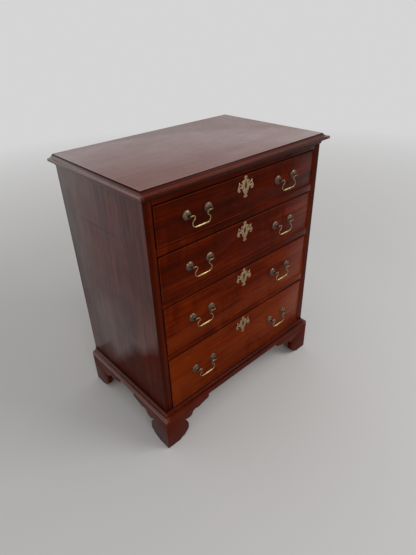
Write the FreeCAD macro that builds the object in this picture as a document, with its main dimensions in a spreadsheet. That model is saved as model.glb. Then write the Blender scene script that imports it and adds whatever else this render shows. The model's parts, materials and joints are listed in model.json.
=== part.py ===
# A bachelor's chest: a mahogany case with four long drawers on bracket feet.
# +X is to the right, the drawers face -Y, +Z is up, and the origin is on the floor
# under the middle of the whole chest. Every size comes from the "dim" sheet, in mm.
import FreeCAD, Part
import Sketcher
import math
import os

os.makedirs("parts", exist_ok=True)
doc = FreeCAD.newDocument("bachelors_chest")
Vector = FreeCAD.Vector

SIZES = {
    # case
    "case_width": 670,
    "case_depth": 420,
    "side_thick": 25,
    "rail_deep": 60,
    "divider_thick": 22,
    "dust_thick": 12,
    "housing_deep": 6,
    "housing_stop": 10,
    "back_thick": 10,
    "back_rebate": 10,
    "back_planks": 5,
    "opening_1": 111.5,
    "opening_2": 134,
    "opening_3": 160,
    "opening_4": 190,
    "top_rail_tall": 27,
    "floor_thick": 18,
    "batten_tall": 10.5,
    # top and its edge
    "top_thick": 18,
    "top_over": 20.5,
    "nose_tall": 9,
    "nose_tuck": 2.5,
    "step_over": 4.5,
    "step_wide": 1.5,
    "step_tall": 1.5,
    # cove under the top
    "cove_tall": 13,
    "cove_over": 14,
    "cove_foot_over": 2.5,
    "cove_fillet": 1.5,
    # base moulding and feet
    "base_over": 16.7,
    "base_tall": 26,
    "base_band": 7,
    "base_lip_over": 2,
    "base_lip_tall": 2,
    "base_waist_over": 8,
    "base_waist_up": 15,
    "foot_tall": 115,
    "foot_wide": 178,
    "foot_thick": 18,
    "bracket_wide": 120,
    "bracket_toe": 48,
    "bracket_heel": 60,
    "block_wide": 40,
    "block_lift": 4,
    "cleat_wide": 25,
    "cleat_long": 85,
    # drawer boards
    "gap_above": 2,
    "gap_below": 1.5,
    "gap_side": 2,
    "run_gap": 0.3,
    "front_thick": 22,
    "drawer_room": 25,
    "drawer_side": 9,
    "drawer_back": 9,
    "side_drop": 4,
    "back_drop": 5,
    "panel_thick": 6,
    "panel_lift": 7,
    "side_groove": 4,
    "front_groove": 6,
    "runner_wide": 14,
    # dovetails
    "tail_long": 10,
    "tail_flare": 1.6,
    "half_pin": 7,
    "front_pin": 7,
    "pin_lift": 2,
    "pin_tall": 9,
    "pin_flare": 1.4,
    "tails_1": 3,
    "tails_2": 3,
    "tails_3": 4,
    "tails_4": 5,
    # beads round the drawer fronts
    "bead_wide": 3,
    "bead_deep": 10,
    "bead_proud": 2,
    "bead_nose": 0.9,
    "bead_round": 0.9,
    # drawer stops
    "stop_tall": 5,
    "stop_wide": 30,
    "stop_deep": 12,
    "stop_out": 150,
    # locks
    "lock_wide": 64,
    "lock_tall": 42,
    "lock_deep": 12,
    "bolt_wide": 25,
    "bolt_thick": 5.5,
    "bolt_tall": 20,
    "key_down": 30,
    "mortise_room": 2,
    "mortise_deep": 10,
    # handles
    "handle_out": 174,
    "handle_up": 3,
    "bore_span": 72,
    "rose_radius": 14,
    "rose_rim": 1.5,
    "rose_dome": 5,
    "rose_crown": 7.2,
    "crown_radius": 9.5,
    "neck_radius": 3,
    "pivot_reach": 14,
    "head_radius": 3.2,
    "head_half": 2.6,
    "pin_radius": 1.3,
    "pin_fit": 0.06,
    "pin_in": 5,
    "wire_radius": 1.6,
    "grip_radius": 2.7,
    "grip_half": 7,
    "lobe_out": 30,
    "lobe_radius": 10.5,
    "neck_bend": 6.5,
    "neck_in": 9,
    # key plates
    "plate_thick": 1.5,
    "plate_wide": 64,
    "plate_tall": 62,
    "keyhole_top": 2.4,
    "keyhole_wide": 3.4,
    "keyhole_up": 8.5,
    "keyhole_down": 7.5,
    "keyhole_bulb": 6,
    "keyhole_swell": 6.4,
}

sheet = doc.addObject("Spreadsheet::Sheet", "dim")
for row, (size_name, size) in enumerate(SIZES.items(), start=1):
    sheet.set(f"A{row}", size_name)
    sheet.set(f"B{row}", str(size))
    sheet.setAlias(f"B{row}", size_name)
doc.recompute()

DRAWERS = [int(name[-1]) for name in SIZES if name.startswith("opening_")]
HALF = "dim.case_width / 2"
INNER = f"({HALF} - dim.side_thick)"
FORWARD = "max(dim.top_over; dim.pivot_reach + dim.head_radius)"
FRONT = f"(({FORWARD} - dim.case_depth) / 2)"
BACK = f"({FRONT} + dim.case_depth)"
BOARD_BACK = f"({BACK} - dim.back_thick)"
CASE_FLOOR = "(dim.foot_tall + dim.batten_tall + dim.floor_thick)"


# ---- helpers

def value(expression):
    """The number that an expression over the sheet stands for now."""
    number = sheet.evalExpression(expression)
    return float(getattr(number, "Value", number))


def datum(body, role):
    """One of a body's own origin planes or axes."""
    return [feature for feature in body.Origin.OriginFeatures if feature.Role == role][0]


def new_body(label):
    body = doc.addObject("PartDesign::Body", label)
    body.Label = label
    return body


def new_sketch(body, name, role, offset="0"):
    """A sketch on a body's own plane, moved along the plane's normal by offset."""
    sketch = body.newObject("Sketcher::SketchObject", name)
    sketch.AttachmentSupport = (datum(body, role), [""])
    sketch.MapMode = "FlatFace"
    sketch.setExpression("AttachmentOffset.Base.z", offset)
    return sketch


def bind(sketch, constraint, expression):
    index = sketch.addConstraint(constraint)
    sketch.setExpression(f"Constraints[{index}]", expression)


def nearer_end(sketch, edge, spot):
    """Which end of an edge, 1 or 2, lies at a spot."""
    gaps = [(sketch.getPoint(edge, end) - spot).Length for end in (1, 2)]
    return 1 + gaps.index(min(gaps))


def draw(sketch, corners):
    """Closes an outline through its corners (across, up, bulge), bound to the sheet.

    A bulge bends the edge that leaves its corner. It is the rise of the arc over its
    chord: outwards where it is positive, inwards where it is negative.
    """
    spots = [Vector(value(corner[0]), value(corner[1]), 0) for corner in corners]
    following = spots[1:] + spots[:1]
    area = sum(a.x * b.y - b.x * a.y for a, b in zip(spots, following))
    outward = 1 if area > 0 else -1
    first = sketch.GeometryCount
    for corner, a, b in zip(corners, spots, following):
        bulge = corner[2] if len(corner) > 2 else 0
        chord = b - a
        if bulge:
            rise = Vector(chord.y, -chord.x, 0) * (bulge * outward)
            sketch.addGeometry(Part.Arc(a, (a + b) * 0.5 + rise, b))
        else:
            sketch.addGeometry(Part.LineSegment(a, b))
    count = len(corners)
    for number, corner in enumerate(corners):
        edge = first + number
        after = first + (number + 1) % count
        start = nearer_end(sketch, edge, spots[number])
        joint = following[number]
        ends = (edge, nearer_end(sketch, edge, joint), after, nearer_end(sketch, after, joint))
        sketch.addConstraint(Sketcher.Constraint("Coincident", *ends))
        across = Sketcher.Constraint("DistanceX", -1, 1, edge, start, spots[number].x)
        bind(sketch, across, corner[0])
        up = Sketcher.Constraint("DistanceY", -1, 1, edge, start, spots[number].y)
        bind(sketch, up, corner[1])
        if len(corner) > 2 and corner[2]:
            bulge = corner[2]
            target = corners[(number + 1) % count]
            chord = f"hypot({target[0]} - ({corner[0]}); {target[1]} - ({corner[1]}))"
            ratio = (0.25 + bulge * bulge) / (2 * abs(bulge))
            radius = ratio * (following[number] - spots[number]).Length
            bind(sketch, Sketcher.Constraint("Radius", edge, radius), f"{chord} * {ratio}")


def draw_rectangle(sketch, left, right, low, high):
    draw(sketch, [(left, low), (right, low), (right, high), (left, high)])


def pad(body, sketch, length, backwards=False, both_ways=False):
    feature = body.newObject("PartDesign::Pad", sketch.Name + "_pad")
    feature.Profile = sketch
    feature.setExpression("Length", length)
    feature.Reversed = backwards
    feature.Midplane = both_ways
    sketch.Visibility = False
    return feature


def pocket(body, sketch, depth=None, forwards=False, both_ways=False):
    """Cuts a sketch out of the body: against its plane's normal, or along it if forwards."""
    feature = body.newObject("PartDesign::Pocket", sketch.Name + "_pocket")
    feature.Profile = sketch
    if depth is None:
        feature.Type = "ThroughAll"
    else:
        feature.setExpression("Length", depth)
    feature.Reversed = forwards
    feature.Midplane = both_ways
    doc.recompute()
    before = feature.BaseFeature.Shape.Volume
    if feature.Shape.Volume >= before:
        raise RuntimeError(f"{feature.Name} cuts nothing")
    return feature


def row_up(body, feature, span, count):
    """Repeats a feature upwards, the last one a span above the first."""
    pattern = body.newObject("PartDesign::LinearPattern", feature.Name + "_row")
    pattern.Originals = [feature]
    pattern.Direction = (datum(body, "Z_Axis"), [""])
    pattern.setExpression("Length", span)
    pattern.setExpression("Occurrences", count)
    body.Tip = pattern
    return pattern


def box(label, x_span, y_span, z_span):
    """A board between two expressions on each axis."""
    board = doc.addObject("Part::Box", label)
    board.Label = label
    spans = (("Length", "x", x_span), ("Width", "y", y_span), ("Height", "z", z_span))
    for size_name, axis, (low, high) in spans:
        board.setExpression(size_name, f"{high} - ({low})")
        board.setExpression(f"Placement.Base.{axis}", low)
    return board


def join(label, *pieces):
    """Pieces that stay separate solids of one sub-part."""
    group = doc.addObject("Part::Compound", label)
    group.Label = label
    group.Links = list(pieces)
    return group


def fuse(label, *pieces):
    union = doc.addObject("Part::MultiFuse", label)
    union.Label = label
    union.Shapes = list(pieces)
    union.Refine = True
    return union


def cut(label, base, tool):
    result = doc.addObject("Part::Cut", label)
    result.Label = label
    result.Base = base
    result.Tool = tool
    return result


def mirror(label, source, normal, x="0", y="0", z="0"):
    """The mirror image of a piece across a plane through (x, y, z)."""
    image = doc.addObject("Part::Mirroring", label)
    image.Label = label
    image.Source = source
    image.Normal = normal
    for axis, expression in (("x", x), ("y", y), ("z", z)):
        image.setExpression(f"Base.{axis}", expression)
    return image


def copy_at(label, source, x, y, z):
    """One more of a piece that is drawn round the origin."""
    placed = join(label, source)
    for axis, expression in (("x", x), ("y", y), ("z", z)):
        placed.setExpression(f"Placement.Base.{axis}", expression)
    return placed


SIDEWAYS = Vector(1, 0, 0)
BACKWARDS = Vector(0, 1, 0)
UPWARDS = Vector(0, 0, 1)
DIAGONAL = Vector(1, -1, 0)


# ---- levels of the case

def opening_floor(number):
    """Height of the surface that a drawer runs on; drawer 1 is the top one."""
    if number == DRAWERS[-1]:
        return CASE_FLOOR
    below = number + 1
    return f"({opening_floor(below)} + dim.opening_{below} + dim.divider_thick)"


def opening_top(number):
    return f"({opening_floor(number)} + dim.opening_{number})"


CASE_TOP = f"({opening_top(1)} + dim.top_rail_tall)"
RAIL_BACK = f"({FRONT} + dim.rail_deep)"


# ---- case boards

def case_side(label):
    """The left side, with stopped housings for the rails, dust boards and floor."""
    board = box(label + "_board", (f"-({HALF})", f"-{INNER}"), (FRONT, BACK),
                ("dim.foot_tall", CASE_TOP))
    groove_x = (f"-({INNER} + dim.housing_deep)", f"-{INNER}")
    rail_y = (f"{FRONT} + dim.housing_stop", RAIL_BACK)
    grooves = [box(label + "_top_housing", groove_x, rail_y, (opening_top(1), CASE_TOP))]
    back_rail_y = (f"{BOARD_BACK} - dim.rail_deep", BOARD_BACK)
    grooves.append(box(label + "_top_back_housing", groove_x, back_rail_y,
                       (opening_top(1), CASE_TOP)))
    for number in DRAWERS[:-1]:
        low = opening_top(number + 1)
        high = opening_floor(number)
        grooves.append(box(f"{label}_rail_housing_{number}", groove_x, rail_y, (low, high)))
        grooves.append(box(f"{label}_dust_housing_{number}", groove_x, (RAIL_BACK, BOARD_BACK),
                           (f"{high} - dim.dust_thick", high)))
    grooves.append(box(label + "_floor_housing", groove_x, (rail_y[0], BOARD_BACK),
                       (f"{CASE_FLOOR} - dim.floor_thick", CASE_FLOOR)))
    grooves.append(box(label + "_back_rebate", (f"-({INNER} + dim.back_rebate)", f"-{INNER}"),
                       (BOARD_BACK, BACK), ("dim.foot_tall", CASE_TOP)))
    return cut(label, board, fuse(label + "_grooves", *grooves))


def shouldered_board(label, y_back, z_span):
    """A board across the case whose ends are housed behind a square front shoulder."""
    shoulder_y = f"{FRONT} + dim.housing_stop"
    visible = box(label + "_edge", (f"-{INNER}", INNER), (FRONT, shoulder_y), z_span)
    housed_end = f"({INNER} + dim.housing_deep)"
    housed = box(label + "_tongues", (f"-{housed_end}", housed_end), (shoulder_y, y_back), z_span)
    return fuse(label, visible, housed)


BOLT_Y = f"({FRONT} + dim.front_thick - dim.lock_deep / 2)"


def drawer_rail(label, z_span):
    """A front rail with the mortise for the bolt of the drawer below it."""
    rail = shouldered_board(label + "_rail", RAIL_BACK, z_span)
    half_wide = "(dim.bolt_wide + dim.mortise_room) / 2"
    half_thick = "(dim.bolt_thick + dim.mortise_room) / 2"
    mortise = box(label + "_mortise", (f"-{half_wide}", half_wide),
                  (f"{BOLT_Y} - {half_thick}", f"{BOLT_Y} + {half_thick}"),
                  (z_span[0], f"{z_span[0]} + dim.mortise_deep"))
    return cut(label, rail, mortise)


def dust_boards():
    boards = []
    end = f"({INNER} + dim.housing_deep)"
    for number in DRAWERS[:-1]:
        high = opening_floor(number)
        boards.append(box(f"dust_board_{number}", (f"-{end}", end), (RAIL_BACK, BOARD_BACK),
                          (f"{high} - dim.dust_thick", high)))
    return join("dust_boards", *boards)


def drawer_stops():
    """Two small blocks on each rail, which the drawer front comes to rest against."""
    stops = []
    front_y = f"{FRONT} + dim.front_thick + dim.run_gap"
    for number in DRAWERS:
        low = opening_floor(number)
        for side, sign in (("left", "-1"), ("right", "1")):
            middle = f"{sign} * dim.stop_out"
            stops.append(box(f"stop_{number}_{side}",
                             (f"{middle} - dim.stop_wide / 2", f"{middle} + dim.stop_wide / 2"),
                             (front_y, f"{front_y} + dim.stop_deep"),
                             (low, f"{low} + dim.stop_tall")))
    return join("drawer_stops", *stops)


def case_bottom():
    """The floor board, and the battens under its front and back edges."""
    board = shouldered_board("floor_board", BOARD_BACK,
                             (f"{CASE_FLOOR} - dim.floor_thick", CASE_FLOOR))
    batten_z = ("dim.foot_tall", "dim.foot_tall + dim.batten_tall")
    span = (f"-{INNER}", INNER)
    front_batten = box("front_batten", span, (FRONT, RAIL_BACK), batten_z)
    back_batten = box("back_batten", span, (f"{BOARD_BACK} - dim.rail_deep", BOARD_BACK), batten_z)
    return join("bottom_board", board, front_batten, back_batten)


def back_boards():
    """Upright planks, edge to edge, in the rebates of the sides."""
    planks = []
    reach = f"({INNER} + dim.back_rebate)"
    width = f"(2 * {reach} / dim.back_planks)"
    for number in range(int(value("dim.back_planks"))):
        left = f"{number} * {width} - {reach}"
        planks.append(box(f"back_plank_{number + 1}", (left, f"{left} + {width}"),
                          (BOARD_BACK, BACK), ("dim.foot_tall", CASE_TOP)))
    return join("back_boards", *planks)


# ---- mouldings: an edge is a list of (how far out, how high, bulge), from low to high

TOP_EDGE = [
    ("dim.top_over - dim.nose_tuck", CASE_TOP, 0.2),
    ("dim.top_over", f"{CASE_TOP} + dim.nose_tall / 2", 0.2),
    ("dim.top_over - dim.nose_tuck", f"{CASE_TOP} + dim.nose_tall", -0.16),
    ("dim.step_over", f"{CASE_TOP} + dim.top_thick - dim.step_tall"),
    ("dim.step_over - dim.step_wide", f"{CASE_TOP} + dim.top_thick - dim.step_tall"),
    ("dim.step_over - dim.step_wide", f"{CASE_TOP} + dim.top_thick"),
]

COVE = [
    ("0", f"{CASE_TOP} - dim.cove_tall"),
    ("dim.cove_foot_over", f"{CASE_TOP} - dim.cove_tall"),
    ("dim.cove_foot_over", f"{CASE_TOP} - dim.cove_tall + dim.cove_fillet", -0.18),
    ("dim.cove_over", f"{CASE_TOP} - dim.cove_fillet"),
    ("dim.cove_over", CASE_TOP),
    ("0", CASE_TOP),
]

BASE = [
    ("0", "dim.foot_tall"),
    ("dim.base_over", "dim.foot_tall"),
    ("dim.base_over", "dim.foot_tall + dim.base_band", 0.22),
    ("dim.base_waist_over", "dim.foot_tall + dim.base_waist_up", -0.18),
    ("dim.base_lip_over", "dim.foot_tall + dim.base_tall - dim.base_lip_tall"),
    ("dim.base_lip_over", "dim.foot_tall + dim.base_tall"),
    ("0", "dim.foot_tall + dim.base_tall"),
]


def bulge_of(corner):
    return corner[2] if len(corner) > 2 else 0


def top_board():
    """The moulded front edge and the moulded ends meet in mitres at the front corners."""
    along = new_body("top_front_edge")
    front_view = new_sketch(along, "top_front_section", "YZ_Plane")
    edge = [(f"{FRONT} - ({out})", up, *bend) for out, up, *bend in TOP_EDGE]
    draw(front_view, edge + [(BACK, f"{CASE_TOP} + dim.top_thick"), (BACK, CASE_TOP)])
    pad(along, front_view, "dim.case_width + 2 * dim.top_over", both_ways=True)
    across = new_body("top_end_edges")
    side_view = new_sketch(across, "top_end_section", "XZ_Plane", f"-({BACK})")
    right = [(f"{HALF} + {out}", up, *bend) for out, up, *bend in TOP_EDGE]
    left = []
    for here, before in zip(reversed(TOP_EDGE), list(reversed(TOP_EDGE))[1:] + [(0, 0)]):
        left.append((f"-({HALF} + {here[0]})", here[1], bulge_of(before)))
    draw(side_view, right + left)
    pad(across, side_view, "dim.case_depth + dim.top_over")
    common = doc.addObject("Part::MultiCommon", "top_board")
    common.Label = "top_board"
    common.Shapes = [along, across]
    return common


def moulding(label, edge, reach):
    """Three strips round the case, front and both sides, mitred at the front corners."""
    front = new_body(label + "_front")
    section = new_sketch(front, label + "_front_section", "YZ_Plane")
    draw(section, [(f"{FRONT} - ({out})", up, *bend) for out, up, *bend in edge])
    pad(front, section, f"dim.case_width + 2 * {reach}", both_ways=True)
    end = f"({HALF} + {reach})"
    for sign, hand in (("-", "left"), ("", "right")):
        mitre = new_sketch(front, f"{label}_front_mitre_{hand}", "XY_Plane")
        draw(mitre, [(f"{sign}({HALF})", FRONT), (f"{sign}{end}", f"{FRONT} - {reach}"),
                     (f"{sign}{end}", FRONT)])
        pocket(front, mitre, forwards=True)
    left = new_body(label + "_left")
    section = new_sketch(left, label + "_left_section", "XZ_Plane", f"-({BACK})")
    draw(section, [(f"-({HALF} + {out})", up, *bend) for out, up, *bend in edge])
    pad(left, section, f"dim.case_depth + {reach}")
    mitre = new_sketch(left, label + "_left_mitre", "XY_Plane")
    draw(mitre, [(f"-({HALF})", FRONT), (f"-({HALF})", f"{FRONT} - {reach}"),
                 (f"-{end}", f"{FRONT} - {reach}")])
    pocket(left, mitre, forwards=True)
    return join(label, front, left, mirror(label + "_right", left, SIDEWAYS))


# ---- feet: outlines as parts of a foot's width and height, from the outer corner

FOOT_OUTLINE = [
    (0.00, 0.00), (0.27, 0.00, -0.10), (0.37, 0.07), (0.465, 0.21, 0.10),
    (0.483, 0.36, 0.16), (0.42, 0.59, -0.10), (0.40, 0.70, 0.24), (0.585, 0.68, -0.22),
    (0.69, 0.79, 0.14), (0.79, 0.80), (0.96, 0.86, 0.20), (1.00, 1.00), (0.00, 1.00),
]

CORNER_X = f"({HALF} + dim.base_over)"
CORNER_Y = f"({FRONT} - dim.base_over)"


def bracket(label, outline):
    """A shaped board at the front left corner, mitred for its fellow round the corner."""
    body = new_body(label)
    shape = new_sketch(body, label + "_outline", "XZ_Plane", f"-({CORNER_Y})")
    draw(shape, outline)
    pad(body, shape, "dim.foot_thick", backwards=True)
    mitre = new_sketch(body, label + "_mitre", "XY_Plane")
    draw(mitre, [(f"-{CORNER_X}", CORNER_Y),
                 (f"-{CORNER_X} + dim.foot_thick", f"{CORNER_Y} + dim.foot_thick"),
                 (f"-{CORNER_X}", f"{CORNER_Y} + dim.foot_thick")])
    pocket(body, mitre, forwards=True)
    return body


def feet():
    """Scalloped bracket feet in front, and behind them one scalloped and one plain board."""
    scalloped = [(f"-{CORNER_X} + {across} * dim.foot_wide", f"{up} * dim.foot_tall", *bend)
                 for across, up, *bend in FOOT_OUTLINE]
    facing = bracket("foot_facing", scalloped)
    flank = mirror("foot_flank", facing, DIAGONAL, x=f"-{CORNER_X}", y=CORNER_Y)
    front_left = join("foot_front_left", facing, flank)
    plain = [(f"-{CORNER_X}", "0"), (f"-{CORNER_X} + dim.bracket_toe", "0"),
             (f"-{CORNER_X} + dim.bracket_toe", "dim.bracket_heel"),
             (f"-{CORNER_X} + dim.bracket_wide", "dim.foot_tall"),
             (f"-{CORNER_X}", "dim.foot_tall")]
    hidden = bracket("foot_hidden", plain)
    middle = f"({CORNER_Y} + {BACK}) / 2"
    back_left = mirror("foot_back_left", join("foot_back_boards", hidden, flank), BACKWARDS,
                       y=middle)
    return [join("feet_front", front_left, mirror("foot_front_right", front_left, SIDEWAYS)),
            join("feet_back", back_left, mirror("foot_back_right", back_left, SIDEWAYS))]


def foot_blocks():
    """An upright block in each corner and two cleats, glued under the case."""
    inner_x = f"-{CORNER_X} + dim.foot_thick"
    inner_y = f"{CORNER_Y} + dim.foot_thick"
    post = box("corner_block", (inner_x, f"{inner_x} + dim.block_wide"),
               (inner_y, f"{inner_y} + dim.block_wide"), ("dim.block_lift", "dim.foot_tall"))
    cleat_z = ("dim.foot_tall - dim.cleat_wide", "dim.foot_tall")
    cleat_x = box("front_cleat",
                  (f"{inner_x} + dim.block_wide", f"{inner_x} + dim.block_wide + dim.cleat_long"),
                  (inner_y, f"{inner_y} + dim.cleat_wide"), cleat_z)
    cleat_y = box("flank_cleat", (inner_x, f"{inner_x} + dim.cleat_wide"),
                  (f"{inner_y} + dim.block_wide", f"{inner_y} + dim.block_wide + dim.cleat_long"),
                  cleat_z)
    front_left = join("blocks_front_left", post, cleat_x, cleat_y)
    middle = f"({CORNER_Y} + {BACK}) / 2"
    rear_left = mirror("blocks_back_left", front_left, BACKWARDS, y=middle)
    return join("foot_blocks", front_left, rear_left,
                mirror("blocks_front_right", front_left, SIDEWAYS),
                mirror("blocks_back_right", rear_left, SIDEWAYS))


# ---- drawers

FRONT_BACK = f"({FRONT} + dim.front_thick)"
DRAWER_BACK = f"({BOARD_BACK} - dim.drawer_room)"
FACE_HALF = f"({INNER} - dim.gap_side)"
BOARD_INNER = f"({FACE_HALF} - dim.drawer_side)"


def front_low(number):
    return f"({opening_floor(number)} + dim.gap_below)"


def front_high(number):
    return f"({opening_top(number)} - dim.gap_above)"


def side_low(number):
    return f"({opening_floor(number)} + dim.run_gap)"


def side_high(number):
    return f"({front_high(number)} - dim.side_drop)"


def panel_low(number):
    return f"({side_low(number)} + dim.panel_lift)"


def panel_high(number):
    return f"({panel_low(number)} + dim.panel_thick)"


def board_back_high(number):
    return f"({side_high(number)} - dim.back_drop)"


def tail_room(number):
    """Height that one tail and the pin above it share, in the drawer's front corners."""
    low = f"({front_low(number)} + dim.half_pin)"
    high = f"({side_high(number)} - dim.half_pin)"
    return f"(({high} - {low} + dim.front_pin) / dim.tails_{number})"


def tail_outline(number):
    """The lowest front tail, seen from the side: wider at its end than at its root."""
    low = f"({front_low(number)} + dim.half_pin)"
    high = f"({low} + {tail_room(number)} - dim.front_pin)"
    end = f"{FRONT_BACK} - dim.tail_long"
    return [(FRONT_BACK, f"{low} + dim.tail_flare"), (end, low),
            (end, high), (FRONT_BACK, f"{high} - dim.tail_flare")]


def tail_span(number):
    return f"{tail_room(number)} * (dim.tails_{number} - 1)"


def pin_low(number):
    return f"({panel_high(number)} + dim.pin_lift)"


def pin_outline(number):
    """The lowest pin of the drawer back, seen from the side: narrower at the drawer's end."""
    low = pin_low(number)
    root = f"{DRAWER_BACK} - dim.drawer_back"
    return [(root, low), (DRAWER_BACK, f"{low} + dim.pin_flare"),
            (DRAWER_BACK, f"{low} + dim.pin_tall - dim.pin_flare"), (root, f"{low} + dim.pin_tall")]


def pin_span(number):
    return f"({board_back_high(number)} - {pin_low(number)} - dim.pin_tall - dim.pin_lift)"


def drawer_front(number):
    """The front board, rebated for its beads and cut for tails, panel, lock and key."""
    label = f"drawer_{number}_front"
    low, high = front_low(number), front_high(number)
    body = new_body(label)
    rebate = f"-({FRONT} + dim.bead_deep)"
    board = new_sketch(body, label + "_board", "XZ_Plane", rebate)
    draw_rectangle(board, f"-{FACE_HALF}", FACE_HALF, low, high)
    pad(body, board, "dim.front_thick - dim.bead_deep", backwards=True)
    face = new_sketch(body, label + "_face", "XZ_Plane", rebate)
    draw_rectangle(face, f"-({FACE_HALF} - dim.bead_wide)", f"{FACE_HALF} - dim.bead_wide",
                   f"{low} + dim.bead_wide", f"{high} - dim.bead_wide")
    pad(body, face, "dim.bead_deep")
    for hand, sign in (("left", "-"), ("right", "")):
        socket = new_sketch(body, f"{label}_socket_{hand}", "YZ_Plane", f"{sign}{BOARD_INNER}")
        draw(socket, tail_outline(number))
        first = pocket(body, socket, "dim.drawer_side", forwards=hand == "right")
        row_up(body, first, tail_span(number), f"dim.tails_{number}")
    groove = new_sketch(body, label + "_groove", "XZ_Plane", f"-{FRONT_BACK}")
    draw_rectangle(groove, f"-{BOARD_INNER}", BOARD_INNER, panel_low(number), panel_high(number))
    pocket(body, groove, "dim.front_groove", forwards=True)
    lock = new_sketch(body, label + "_lock_seat", "XZ_Plane", f"-{FRONT_BACK}")
    draw_rectangle(lock, "-dim.lock_wide / 2", "dim.lock_wide / 2",
                   f"{high} - dim.lock_tall", high)
    pocket(body, lock, "dim.lock_deep", forwards=True)
    keyhole = new_sketch(body, label + "_keyhole", "XZ_Plane", f"-{FRONT_BACK}")
    draw(keyhole, keyhole_outline(f"{high} - dim.key_down"))
    pocket(body, keyhole, forwards=True)
    return body


def keyhole_outline(centre):
    """A slot that widens downwards and swells round the key's stem near its foot."""
    narrow = "dim.keyhole_top / 2"
    half = "dim.keyhole_wide / 2"
    swell = "dim.keyhole_swell / 2"
    foot = f"{centre} - dim.keyhole_down"
    right = [(half, f"{foot} + dim.keyhole_bulb"), (swell, f"{foot} + dim.keyhole_bulb * 2 / 3"),
             (swell, f"{foot} + dim.keyhole_bulb / 3"), (half, foot)]
    left = [(f"-{across}", up) for across, up in reversed(right)]
    top = f"{centre} + dim.keyhole_up"
    return [(narrow, top)] + right + left + [(f"-{narrow}", top)]


def bead_section(near):
    """A bead let into its rebate, with a rounded nose, as (depth, place across it)."""
    nose = f"{FRONT} - dim.bead_proud + dim.bead_nose"
    tip = f"{FRONT} - dim.bead_proud"
    root = f"{FRONT} + dim.bead_deep"
    far = f"{near} + dim.bead_wide"
    return [(root, near), (nose, near), (tip, f"{near} + dim.bead_round"),
            (tip, f"{far} - dim.bead_round"), (nose, far), (root, far)]


def cock_beads(number):
    """Four beads round a drawer front, mitred at its corners."""
    label = f"drawer_{number}_cock_beads"
    low, high = front_low(number), front_high(number)
    foot = new_body(label + "_foot")
    section = new_sketch(foot, label + "_foot_section", "YZ_Plane")
    draw(section, bead_section(low))
    pad(foot, section, f"2 * {FACE_HALF}", both_ways=True)
    upright = new_body(label + "_left")
    section = new_sketch(upright, label + "_left_section", "XY_Plane", low)
    draw(section, [(across, out) for out, across in bead_section(f"-{FACE_HALF}")])
    pad(upright, section, f"{high} - {low}")
    cut_back = f"-({FRONT} + dim.bead_deep)"
    for sign in ("-", ""):
        mitre = new_sketch(foot, f"{label}_foot_mitre{len(sign)}", "XZ_Plane", cut_back)
        draw(mitre, [(f"{sign}{FACE_HALF}", low), (f"{sign}{FACE_HALF}", f"{low} + dim.bead_wide"),
                     (f"{sign}({FACE_HALF} - dim.bead_wide)", f"{low} + dim.bead_wide")])
        pocket(foot, mitre, both_ways=True)
    for end, inwards, name in ((low, "+", "low"), (high, "-", "high")):
        mitre = new_sketch(upright, f"{label}_left_mitre_{name}", "XZ_Plane", cut_back)
        draw(mitre, [(f"-{FACE_HALF}", end), (f"-({FACE_HALF} - dim.bead_wide)", end),
                     (f"-({FACE_HALF} - dim.bead_wide)", f"{end} {inwards} dim.bead_wide")])
        pocket(upright, mitre, both_ways=True)
    head = mirror(label + "_head", foot, UPWARDS, z=f"({low} + {high}) / 2")
    return join(label, foot, head, upright, mirror(label + "_right", upright, SIDEWAYS))


def drawer_sides(number):
    """Two sides that dovetail into the front, with sockets for the pins of the back."""
    label = f"drawer_{number}_side"
    side = new_body(label + "_left")
    inner = f"-{BOARD_INNER}"
    board = new_sketch(side, label + "_board", "YZ_Plane", inner)
    draw_rectangle(board, FRONT_BACK, DRAWER_BACK, side_low(number), side_high(number))
    pad(side, board, "dim.drawer_side", backwards=True)
    tail = new_sketch(side, label + "_tail", "YZ_Plane", inner)
    draw(tail, tail_outline(number))
    row_up(side, pad(side, tail, "dim.drawer_side", backwards=True), tail_span(number),
           f"dim.tails_{number}")
    socket = new_sketch(side, label + "_pin_socket", "YZ_Plane", inner)
    draw(socket, pin_outline(number))
    first = pocket(side, socket, "dim.drawer_side")
    row_up(side, first, pin_span(number), f"dim.tails_{number} + 1")
    groove = new_sketch(side, label + "_groove", "XZ_Plane", f"-{FRONT_BACK}")
    draw_rectangle(groove, f"-({BOARD_INNER} + dim.side_groove)", inner,
                   panel_low(number), panel_high(number))
    pocket(side, groove)
    return join(f"drawer_{number}_sides", side, mirror(label + "_right", side, SIDEWAYS))


def drawer_back(number):
    """The back board, above the panel, whose pins pass through both sides."""
    label = f"drawer_{number}_back"
    back = new_body(label)
    board = new_sketch(back, label + "_board", "XZ_Plane", f"-{DRAWER_BACK}")
    draw_rectangle(board, f"-{BOARD_INNER}", BOARD_INNER,
                   panel_high(number), board_back_high(number))
    pad(back, board, "dim.drawer_back")
    pin = new_sketch(back, label + "_pin", "YZ_Plane")
    draw(pin, pin_outline(number))
    row_up(back, pad(back, pin, f"2 * {FACE_HALF}", both_ways=True), pin_span(number),
           f"dim.tails_{number} + 1")
    return back


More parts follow.
